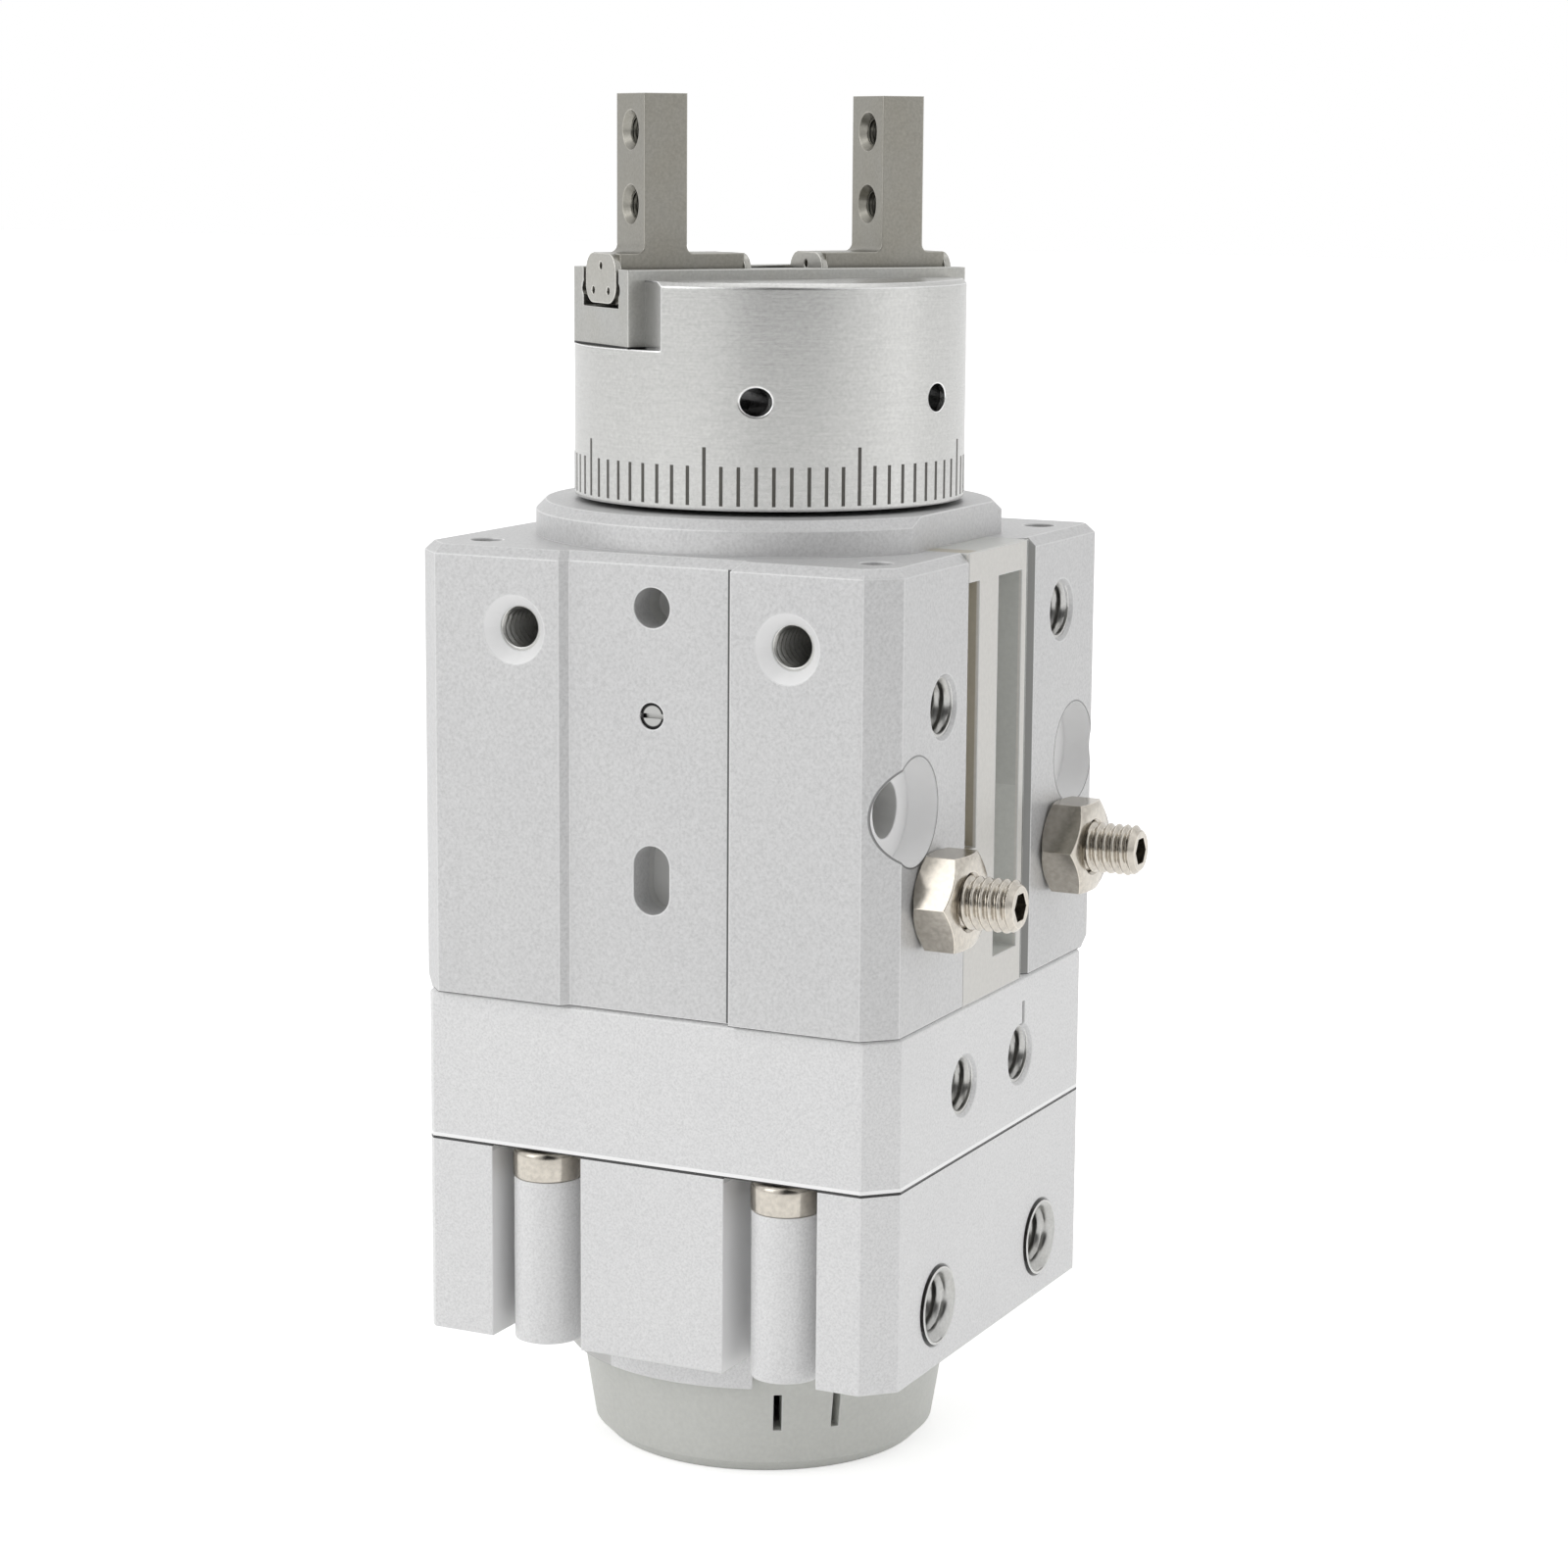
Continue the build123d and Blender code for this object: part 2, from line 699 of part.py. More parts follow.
def seal_rings(spots, section):
    """Square-section seal rings about the axis, from (middle radius, level) pairs"""
    with BuildPart() as rings:
        with BuildSketch(Plane.XZ):
            with Locations(*spots):
                Rectangle(section, section)
        revolve(axis=Axis.Z)
    return rings


shaft_seal_middle = shaft_radius + seal_clearance + shaft_seal_section / 2
shaft_seals = seal_rings([(shaft_seal_middle, z) for z in shaft_seal_levels], shaft_seal_section)

# Lock nuts of the adjusting screws, with corners up and down
with BuildPart() as lock_nuts:
    with BuildSketch(side_spot(0, z_adjust)):
        with Locations((-adjust_y, 0), (adjust_y, 0)):
            RegularPolygon(nut_flats / 2, 6, major_radius=False, rotation=90)
            Circle(adjust_radius + running, mode=Mode.SUBTRACT)
    extrude(amount=nut_height)

# Slotted screw that plugs a drilling in the front face
with BuildPart() as plug_screw:
    with BuildSketch(front_spot(0, z_top - plug_drop, -half_depth + plug_recess)):
        Circle(plug_radius)
    extrude(amount=-(plug_length - plug_recess))
    with BuildSketch(front_spot(0, z_top - plug_drop, -half_depth + plug_recess)):
        Rectangle(2 * plug_radius, plug_slot_width)
    extrude(amount=-plug_slot_depth, mode=Mode.SUBTRACT)


def bearing_ring(inner, outer):
    """A bearing ring with its ball race"""
    with BuildPart() as ring:
        with BuildSketch(Plane.XZ):
            with Locations(((inner + outer) / 2, z_bearing + bearing_height / 2)):
                Rectangle(outer - inner, bearing_height)
            with Locations((ball_circle, z_bearing + bearing_height / 2)):
                Circle(bearing_ball_radius + race_clearance, mode=Mode.SUBTRACT)
        revolve(axis=Axis.Z)
    return ring


bearing_inner_ring = bearing_ring(stem_radius, bearing_inner_outer)
bearing_outer_ring = bearing_ring(bearing_outer_inner, bearing_seat_radius)

with BuildPart() as bearing_balls:
    with Locations(Plane.XY.offset(z_bearing + bearing_height / 2)):
        with PolarLocations(ball_circle, bearing_ball_count):
            Sphere(bearing_ball_radius)

# Turned head with its stem, slotted for the guide and the levers
seal_levels = (
    z_front_port - lower_seal_drop,
    (z_front_port + z_rear_port) / 2,
    z_rear_port + upper_seal_rise,
)
with BuildPart() as gripper_head:
    for radius, low, high in (
        (stem_radius, z_stem, z_top),
        (shoulder_radius, z_top, z_head),
        (head_radius, z_head, z_head_top),
    ):
        with BuildSketch(Plane.XY.offset(low)):
            Circle(radius)
        extrude(amount=high - low)
    chamfer(gripper_head.edges().filter_by(GeomType.CIRCLE).sort_by(Axis.Z)[-1], length=head_bevel)
    with BuildSketch(head_frame.offset(z_seat)):
        Rectangle(2 * head_radius, guide_width)
        with Locations((-head_flat - head_radius, 0), (head_flat + head_radius, 0)):
            Rectangle(2 * head_radius, 2 * head_radius)
    extrude(amount=guide_seat_drop, mode=Mode.SUBTRACT)
    with BuildSketch(head_frame.offset(z_seat)):
        Rectangle(2 * (pivot_x + lever_hub_radius + free), lever_thickness + 2 * lever_side_gap)
    extrude(amount=-(z_seat - z_pivot + lever_hub_radius + free), mode=Mode.SUBTRACT)
    for radius, low, high in (
        (piston_cap_radius, z_stem, z_piston_cap),
        (piston_bore, z_piston_cap, z_bore_roof),
        (rod_radius + running, z_bore_roof, z_seat),
        (spool_bore, z_spool - piston_stroke - spool_half_height - free, z_seat),
    ):
        with BuildSketch(Plane.XY.offset(low)):
            Circle(radius)
        extrude(amount=high - low, mode=Mode.SUBTRACT)
    with BuildSketch(Plane.XZ):
        with Locations(*[(stem_radius, z) for z in seal_levels]):
            Rectangle(2 * (seal_section + seal_clearance), seal_groove_height)
        with Locations((stem_radius, z_front_port), (stem_radius, z_rear_port)):
            Rectangle(2 * air_groove_depth, air_groove_height)
        with Locations((rod_radius + running + gland_seal_section / 2, z_gland_seal)):
            Rectangle(gland_seal_section, gland_seal_section)
    revolve(axis=Axis.Z, mode=Mode.SUBTRACT)
    with BuildSketch(Plane(origin=(0, 0, z_front_port), x_dir=head_y, z_dir=head_x)):
        Circle(air_hole_radius)
    extrude(amount=stem_radius, mode=Mode.SUBTRACT)
    with BuildSketch(head_frame.offset(z_rear_port)):
        with Locations((-air_riser_radius, 0)):
            Circle(air_hole_radius)
    extrude(amount=z_bore_roof - air_hole_radius - z_rear_port, mode=Mode.SUBTRACT)
    with BuildSketch(Plane(origin=(0, 0, z_bore_roof - air_hole_radius), x_dir=head_y, z_dir=-head_x)):
        Circle(air_hole_radius)
    extrude(amount=air_riser_radius, mode=Mode.SUBTRACT)
    with BuildSketch(Plane(origin=(0, 0, z_rear_port), x_dir=head_y, z_dir=-head_x)):
        Circle(air_hole_radius / 2)
    extrude(amount=stem_radius, mode=Mode.SUBTRACT)
    with BuildSketch(head_section):
        with Locations((-pivot_x, z_pivot), (pivot_x, z_pivot)):
            Circle(pivot_pin_radius)
    extrude(amount=head_radius, both=True, mode=Mode.SUBTRACT)
    with BuildSketch(head_frame.offset(z_seat)):
        with Locations((-guide_screw_x, 0), (guide_screw_x, 0)):
            Circle(guide_screw_radius)
    extrude(amount=-(guide_screw_length - (z_channel - z_seat)), mode=Mode.SUBTRACT)

# Steel guide with a channel for the two finger slides
with BuildPart() as finger_guide:
    with BuildSketch(head_frame.offset(z_seat)):
        Rectangle(guide_length, guide_width)
    extrude(amount=z_guide_top - z_seat)
    with BuildSketch(head_frame.offset(z_channel)):
        Rectangle(guide_length, guide_channel_width)
    extrude(amount=guide_channel_depth, mode=Mode.SUBTRACT)
    with BuildSketch(head_frame.offset(z_seat)):
        with Locations((-pivot_x, 0), (pivot_x, 0)):
            Rectangle(2 * lever_window, lever_thickness + 2 * lever_side_gap)
    extrude(amount=z_channel - z_seat, mode=Mode.SUBTRACT)
    with BuildSketch(head_end(-guide_length / 2, z_guide_ball)):
        with Locations((-ball_track, 0), (ball_track, 0)):
            Circle(guide_ball_radius + raceway_clearance)
    extrude(amount=guide_length, mode=Mode.SUBTRACT)
    with Locations(*[Plane(origin=head_x * (i * guide_screw_x) + Vector(0, 0, z_channel)) for i in (-1, 1)]):
        CounterSinkHole(guide_screw_radius, guide_screw_head)

# Countersunk screws that hold the guide down
with BuildPart() as guide_screws:
    for side in (-1, 1):
        spot = head_x * (side * guide_screw_x)
        with BuildSketch(Plane(origin=spot + Vector(0, 0, z_channel), x_dir=head_x, z_dir=-head_y)):
            with BuildLine():
                sink = guide_screw_head - guide_screw_radius
                Polyline(
                    (0, -screw_head_recess),
                    (guide_screw_head - screw_head_recess, -screw_head_recess),
                    (guide_screw_radius, -sink),
                    (guide_screw_radius, -guide_screw_length),
                    (0, -guide_screw_length),
                    close=True,
                )
            make_face()
        revolve(axis=Axis(spot, (0, 0, 1)))

# Pivot pins of the levers, set back in their bores
with BuildPart() as lever_pins:
    with BuildSketch(head_section):
        with Locations((-pivot_x, z_pivot), (pivot_x, z_pivot)):
            Circle(pivot_pin_radius)
    extrude(amount=pivot_pin_length / 2, both=True)

# Vane shaft: a slotted hub in the chamber and a square that drives the stop arm and the stem
with BuildPart() as vane_shaft:
    for radius, low, high in (
        (shaft_radius, z_housing - shaft_tail, z_arm),
        (hub_radius, z_chamber + 2 * running, z_chamber_top - 2 * running),
    ):
        with BuildSketch(Plane.XY.offset(low)):
            Circle(radius)
        extrude(amount=high - low)
    with BuildSketch(arm_frame.offset(z_arm)):
        Rectangle(drive_square, drive_square)
    extrude(amount=z_stem + piston_socket_depth - running - z_arm)
    with BuildSketch(arm_frame.offset(z_chamber)):
        with Locations((vane_root + hub_radius, 0)):
            Rectangle(2 * hub_radius, vane_thickness)
    extrude(amount=z_chamber_top - z_chamber, mode=Mode.SUBTRACT)

vane_tip = chamber_radius - vane_clearance
vane_low = z_chamber + 2 * running
vane_high = z_chamber_top - 2 * running
with BuildPart() as vane:
    with BuildSketch(arm_section):
        with Locations(((vane_root + vane_tip - vane_frame) / 2, (vane_low + vane_high) / 2)):
            Rectangle(vane_tip - vane_frame - vane_root, vane_high - vane_low - 2 * vane_frame)
    extrude(amount=vane_thickness / 2, both=True)

# Rubber frame round the vane's free edges
with BuildPart() as vane_seal:
    with BuildSketch(arm_section):
        with Locations(((vane_root + vane_tip) / 2, (vane_low + vane_high) / 2)):
            Rectangle(vane_tip - vane_root, vane_high - vane_low)
        with Locations(((vane_root + vane_tip - vane_frame) / 2, (vane_low + vane_high) / 2)):
            Rectangle(
                vane_tip - vane_frame - vane_root,
                vane_high - vane_low - 2 * vane_frame,
                mode=Mode.SUBTRACT,
            )
    extrude(amount=vane_thickness / 2, both=True)

# Stop arm that swings between the two adjusting screws
with BuildPart() as stop_arm:
    with BuildSketch(arm_frame.offset(z_arm)):
        Circle(arm_hub_radius)
        with Locations((arm_reach / 2, 0)):
            Rectangle(arm_reach, 2 * arm_half_width)
        Rectangle(drive_square, drive_square, mode=Mode.SUBTRACT)
    extrude(amount=arm_thickness)
    with BuildSketch(Plane(origin=(0, 0, z_adjust), x_dir=head_x, z_dir=-head_y)):
        Circle(arm_screw_radius)
    extrude(amount=arm_hub_radius, mode=Mode.SUBTRACT)

# Grub screw that clamps the stop arm to the square
with BuildPart() as arm_screw:
    with BuildSketch(Plane(origin=-head_y * (drive_square / 2), x_dir=head_x, z_dir=-head_y)):
        with Locations((0, z_adjust)):
            Circle(arm_screw_radius)
    extrude(amount=arm_screw_length)

stem_seal_middle = stem_radius - seal_section / 2 + seal_clearance
stem_seals = seal_rings([(stem_seal_middle, z) for z in seal_levels], seal_section)
rod_seal = seal_rings([(rod_radius + running + gland_seal_section / 2, z_gland_seal)], gland_seal_section)

# Plug that closes the piston bore and carries the drive square
with BuildPart() as piston_cap:
    with BuildSketch(arm_frame.offset(z_stem)):
        Circle(piston_cap_radius)
    extrude(amount=piston_cap_height)
    with BuildSketch(arm_frame.offset(z_stem)):
        Rectangle(drive_square, drive_square)
    extrude(amount=piston_socket_depth, mode=Mode.SUBTRACT)

# Piston with its seal, magnet, rod and nut
with BuildPart() as piston:
    with BuildSketch(Plane.XZ):
        with BuildLine():
            Polyline(
                (rod_thread_radius, z_piston),
                (piston_bore - running, z_piston),
                (piston_bore - running, z_piston + piston_length),
                (rod_radius, z_piston + piston_length),
                (rod_radius, z_rod_shoulder),
                (rod_thread_radius, z_rod_shoulder),
                close=True,
            )
        make_face()
        with Locations((piston_bore, z_piston_seal)):
            Rectangle(2 * (piston_seal_section + 2 * running), piston_seal_section, mode=Mode.SUBTRACT)
        with Locations((piston_bore, z_magnet + magnet_height / 2)):
            Rectangle(2 * (piston_bore - magnet_inner_radius), magnet_height, mode=Mode.SUBTRACT)
    revolve(axis=Axis.Z)

piston_seal_radius = piston_bore - running - piston_seal_section / 2
piston_seal = seal_rings([(piston_seal_radius, z_piston_seal)], piston_seal_section)
piston_magnet = bush(magnet_inner_radius, piston_bore - 2 * running - magnet_recess, z_magnet, magnet_height)

with BuildPart() as piston_rod:
    with BuildSketch(Plane.XZ):
        with BuildLine():
            Polyline(
                (0, z_piston - rod_nut_height),
                (rod_thread_radius, z_piston - rod_nut_height),
                (rod_thread_radius, z_rod_shoulder),
                (rod_radius, z_rod_shoulder),
                (rod_radius, z_spool - spool_half_height),
                (spool_radius, z_spool - spool_half_height),
                (spool_radius, z_spool - spool_half_groove),
                (spool_neck_radius, z_spool - spool_half_groove),
                (spool_neck_radius, z_spool + spool_half_groove),
                (spool_radius, z_spool + spool_half_groove),
                (spool_radius, z_spool + spool_half_height),
                (0, z_spool + spool_half_height),
                close=True,
            )
        make_face()
    revolve(axis=Axis.Z)

with BuildPart() as rod_nut:
    with BuildSketch(Plane.XY.offset(z_piston - rod_nut_height)):
        RegularPolygon(rod_nut_flats / 2, 6, major_radius=False)
        Circle(rod_thread_radius, mode=Mode.SUBTRACT)
    extrude(amount=rod_nut_height)


def bell_crank(side):
    """One lever: an upright arm into the finger slide and a level arm into the rod's spool"""
    tilt = side * lever_tilt
    pivot = Vector(side * pivot_x, z_pivot)
    up = Vector(0, 1).rotate(Axis.Z, -tilt)
    inward = Vector(-side, 0).rotate(Axis.Z, -tilt)
    with BuildPart() as lever:
        with BuildSketch(head_section):
            for way, arm, tip in (
                (up, lever_upper_arm, lever_tip_radius),
                (inward, lever_inner_arm, lever_toe_radius),
            ):
                middle = pivot + way * (arm / 2)
                end = pivot + way * arm
                angle = Vector(0, 1).get_signed_angle(way, Vector(0, 0, 1))
                with Locations(Location((middle.X, middle.Y, 0), (0, 0, angle))):
                    Rectangle(2 * lever_neck, arm)
                with Locations((end.X, end.Y)):
                    Circle(tip)
            with Locations((pivot.X, pivot.Y)):
                Circle(lever_hub_radius)
                Circle(pivot_pin_radius + running, mode=Mode.SUBTRACT)
        extrude(amount=lever_thickness / 2, both=True)
    return lever


left_lever = bell_crank(-1)
right_lever = bell_crank(1)


def finger(side):
    """A jaw: the slide in the guide and the upright finger with two threads"""
    with BuildPart() as jaw:
        with BuildSketch(head_section):
            with Locations((side * (slide_inner + slide_length / 2), (z_slide + z_slide_top) / 2)):
                Rectangle(slide_length, z_slide_top - z_slide)
            with Locations((side * finger_middle, (z_slide_top + z_finger_top) / 2)):
                Rectangle(finger_width, finger_height)
            roots = vertices().group_by(Axis.Y)[1].sort_by(Axis.X)[1:-1]
            fillet(roots, radius=finger_root_fillet)
        extrude(amount=finger_depth / 2, both=True)
        with BuildSketch(head_end(side * (slide_inner + slide_length), z_guide_ball)):
            with Locations((-ball_track, 0), (ball_track, 0)):
                Circle(guide_ball_radius + raceway_clearance)
        extrude(amount=-side * slide_length, mode=Mode.SUBTRACT)
        with BuildSketch(head_frame.offset(z_slide)):
            with Locations((side * (pivot_x + finger_travel / 2), 0)):
                Rectangle(2 * (lever_tip_radius + lever_play), lever_thickness + 2 * lever_side_gap)
        extrude(amount=lever_pocket_depth, mode=Mode.SUBTRACT)
        for face in (finger_middle - finger_width / 2, finger_middle + finger_width / 2):
            z_tip_thread = z_finger_top - finger_thread_tip
            for z in (z_tip_thread, z_tip_thread - finger_thread_pitch):
                with Locations(Plane(origin=head_x * (side * face) + Vector(0, 0, z), x_dir=head_y,
                                     z_dir=head_x * (side if face > finger_middle else -side))):
                    CounterSinkHole(finger_thread_radius, finger_thread_sink, finger_width / 2 + running)
    return jaw


left_finger = finger(-1)
right_finger = finger(1)


def end_plates(side):
    """Thin plates that close the two ends of a slide"""
    height = z_slide_top - z_slide
    with BuildPart() as plates:
        for x in (slide_inner - end_plate_thickness, slide_inner + slide_length):
            plane = head_end(side * x, (z_slide + z_slide_top) / 2)
            with BuildSketch(plane):
                RectangleRounded(end_plate_width, height, end_plate_corner)
                quarter = end_plate_width / 4
                with Locations((0, height / 4), (-quarter, -height / 4), (quarter, -height / 4)):
                    Circle(end_plate_hole, mode=Mode.SUBTRACT)
            extrude(amount=side * end_plate_thickness)
    return plates


left_end_plates = end_plates(-1)
right_end_plates = end_plates(1)


def guide_balls(side):
    """The balls that carry one slide, in a row on each side"""
    first = slide_inner + slide_length / 2 - guide_ball_pitch * (guide_ball_count - 1) / 2
    with BuildPart() as balls:
        for row in (-ball_track, ball_track):
            for n in range(guide_ball_count):
                spot = head_x * (side * (first + n * guide_ball_pitch)) + head_y * row
                with Locations((spot.X, spot.Y, z_guide_ball)):
                    Sphere(guide_ball_radius)
    return balls


left_guide_balls = guide_balls(-1)
right_guide_balls = guide_balls(1)


def adjust_screw(side):
    """A hexagon-socket set screw that limits the turn at one end"""
    tip = arm_half_width + 2 * running
    with BuildPart() as screw:
        with BuildSketch(side_spot(side * adjust_y, z_adjust, tip)):
            Circle(adjust_radius)
        extrude(amount=half_width + adjust_reach - tip)
        chamfer(screw.edges().filter_by(GeomType.CIRCLE), length=adjust_chamfer)
        with BuildSketch(side_spot(side * adjust_y, z_adjust, half_width + adjust_reach)):
            RegularPolygon(adjust_socket_flats / 2, 6, major_radius=False)
        extrude(amount=-adjust_socket_depth, mode=Mode.SUBTRACT)
    return screw


front_adjust_screw = adjust_screw(-1)
rear_adjust_screw = adjust_screw(1)

# Every sub-part under its own name
pieces = {
    "vane_housing": vane_housing,
    "vane_cover": vane_cover,
    "port_block": port_block,
    "upper_body": upper_body,
    "bearing_cover": bearing_cover,
    "switch_rail": switch_rail,
    "end_cap": end_cap,
    "housing_bolts": housing_bolts,
    "body_bolts": body_bolts,
    "lower_bush": lower_bush,
    "upper_bush": upper_bush,
    "stem_bush": stem_bush,
    "vane_stopper": vane_stopper,
    "shaft_seals": shaft_seals,
    "lock_nuts": lock_nuts,
    "plug_screw": plug_screw,
    "bearing_outer_ring": bearing_outer_ring,
    "bearing_inner_ring": bearing_inner_ring,
    "bearing_balls": bearing_balls,
    "gripper_head": gripper_head,
    "finger_guide": finger_guide,
    "guide_screws": guide_screws,
    "lever_pins": lever_pins,
    "vane_shaft": vane_shaft,
    "vane": vane,
    "vane_seal": vane_seal,
    "stop_arm": stop_arm,
    "arm_screw": arm_screw,
    "stem_seals": stem_seals,
    "rod_seal": rod_seal,
    "piston_cap": piston_cap,
    "piston": piston,
    "piston_seal": piston_seal,
    "piston_magnet": piston_magnet,
    "piston_rod": piston_rod,
    "rod_nut": rod_nut,
    "left_lever": left_lever,
    "right_lever": right_lever,
    "left_finger": left_finger,
    "right_finger": right_finger,
    "left_end_plates": left_end_plates,
    "right_end_plates": right_end_plates,
    "left_guide_balls": left_guide_balls,
    "right_guide_balls": right_guide_balls,
    "front_adjust_screw": front_adjust_screw,
    "rear_adjust_screw": rear_adjust_screw,
}

os.makedirs("parts", exist_ok=True)
for name, piece in pieces.items():
    piece.part.label = name
    export_step(piece.part, f"parts/{name}.step")
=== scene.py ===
"""Dresses a rotary gripper: an anodised body, a turned head with a graduation and two steel fingers."""

import json
from math import atan2, cos, pi, radians, sin, tan

import bmesh
import bpy
from mathutils import Matrix, Vector


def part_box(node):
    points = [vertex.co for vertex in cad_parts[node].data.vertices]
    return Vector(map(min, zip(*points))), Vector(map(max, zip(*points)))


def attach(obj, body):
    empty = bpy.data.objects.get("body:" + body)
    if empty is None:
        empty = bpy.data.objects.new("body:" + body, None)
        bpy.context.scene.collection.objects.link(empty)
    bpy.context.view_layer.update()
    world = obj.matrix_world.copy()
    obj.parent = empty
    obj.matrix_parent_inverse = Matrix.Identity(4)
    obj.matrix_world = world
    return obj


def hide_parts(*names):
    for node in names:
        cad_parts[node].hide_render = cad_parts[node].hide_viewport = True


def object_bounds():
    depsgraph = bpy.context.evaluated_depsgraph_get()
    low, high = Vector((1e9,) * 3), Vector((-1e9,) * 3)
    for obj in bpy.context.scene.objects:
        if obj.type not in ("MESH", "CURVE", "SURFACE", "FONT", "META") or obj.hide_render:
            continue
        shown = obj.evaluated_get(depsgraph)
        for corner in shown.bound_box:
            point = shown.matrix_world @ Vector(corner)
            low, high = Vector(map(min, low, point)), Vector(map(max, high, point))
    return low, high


bl_info = {
    "name": "Rotary Gripper",
    "version": (1, 0, 0),
    "blender": (4, 5, 0),
    "location": "View3D > Sidebar > Gripper",
    "description": "Finishes and small parts of a rotary gripper with two parallel fingers",
    "category": "Object",
}

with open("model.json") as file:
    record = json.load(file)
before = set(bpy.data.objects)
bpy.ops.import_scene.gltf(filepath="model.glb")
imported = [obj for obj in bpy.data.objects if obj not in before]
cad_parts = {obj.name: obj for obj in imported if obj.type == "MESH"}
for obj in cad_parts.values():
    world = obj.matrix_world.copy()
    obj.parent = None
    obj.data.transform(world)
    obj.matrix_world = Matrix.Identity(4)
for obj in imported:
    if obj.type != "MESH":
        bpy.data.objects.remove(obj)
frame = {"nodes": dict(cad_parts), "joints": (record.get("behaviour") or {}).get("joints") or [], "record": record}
cad_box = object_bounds()
MM = 0.001

# Places that the frame gives
joint = {j["name"]: j for j in frame["joints"]}
mount = {m["name"]: m for m in frame["record"]["mounts"]}
head_x = Vector(joint["left_finger_slide"]["axis"])
head_angle = atan2(head_x.y, head_x.x)
head_low, head_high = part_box("gripper_head")
head_radius = (head_high.x - head_low.x) / 2
ring_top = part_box("bearing_cover")[1].z
block_low, block_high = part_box("port_block")
cover_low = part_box("vane_cover")[0]
upper_low, upper_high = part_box("upper_body")
guide_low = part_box("finger_guide")[0]
rail_low, rail_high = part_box("switch_rail")

# A thread's flank takes one part in THREAD_FLANK of the pitch, from root to crest
THREAD_FLANK = 2.4
NUT_CHAMFER_SLOPE = tan(radians(30))
# Corners sharper than this stay hard in the smooth meshes
SHARP_ANGLE = radians(32)

# How far a painted zone reaches past the face that it takes in, or stays off the face beside it
SKIN = 0.05 * MM
HAIR = 0.03 * MM

# The blasted grain lies askew, so that no wall cuts it along its own grid
GRAIN_TILT = (0.5, 0.7, 0.3)
# How far the turned rings stray from true circles
RING_DRIFT = (0.05, 0.05, 0.0)

# Tints that a pattern lays over a colour where it is low
WHITE = (1, 1, 1, 1)
CLOUD_TINT = (0.92, 0.92, 0.93, 1)
STAIN_TINT = (0.93, 0.91, 0.86, 1)
MOULD_TINT = (0.93, 0.93, 0.93, 1)

# Each lamp's place and size, and the point that all of them face
LAMPS = {
    "key": ((-0.3, -0.45, 0.4), (0.35, 0.5)),
    "fill": ((0.56, 0.16, 0.25), (0.35, 0.5)),
    "top": ((0.0, 0.1, 0.6), (0.4, 0.4)),
}
LIT_POINT = (0, 0, 0.055)


